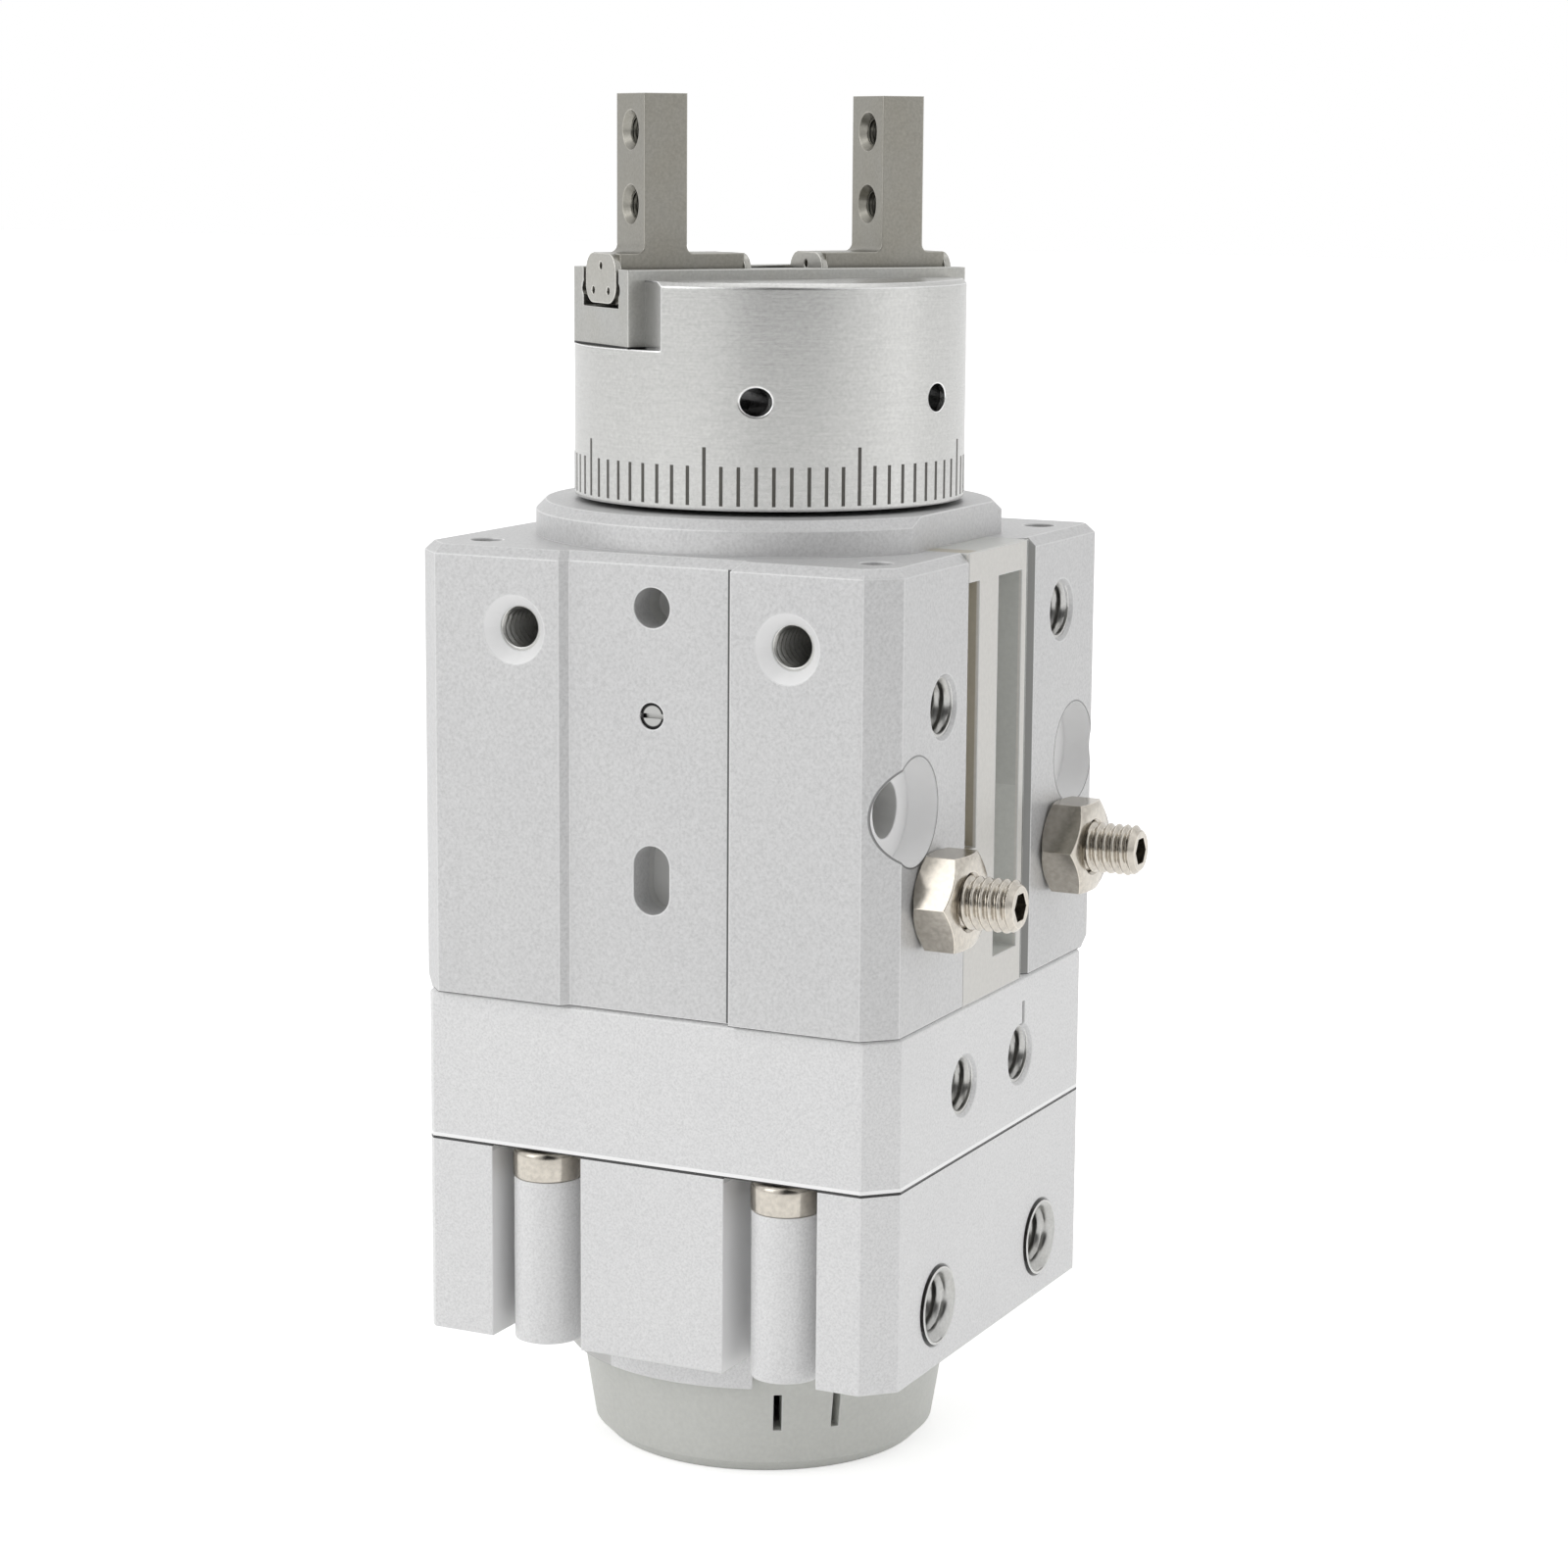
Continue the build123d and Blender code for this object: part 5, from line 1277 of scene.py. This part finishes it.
def unregister():
    """Takes them away again"""
    for name in GROUPS:
        delattr(bpy.types.Scene, name)
    for cls in (GRIPPER_PT_panel, *reversed(STEPS), *reversed(GROUPS.values())):
        bpy.utils.unregister_class(cls)


def main():
    """Makes every piece in order"""
    register()
    for step in STEPS:
        group, name = step.bl_idname.split(".")
        getattr(getattr(bpy.ops, group), name)()


if __name__ == "__main__":
    main()
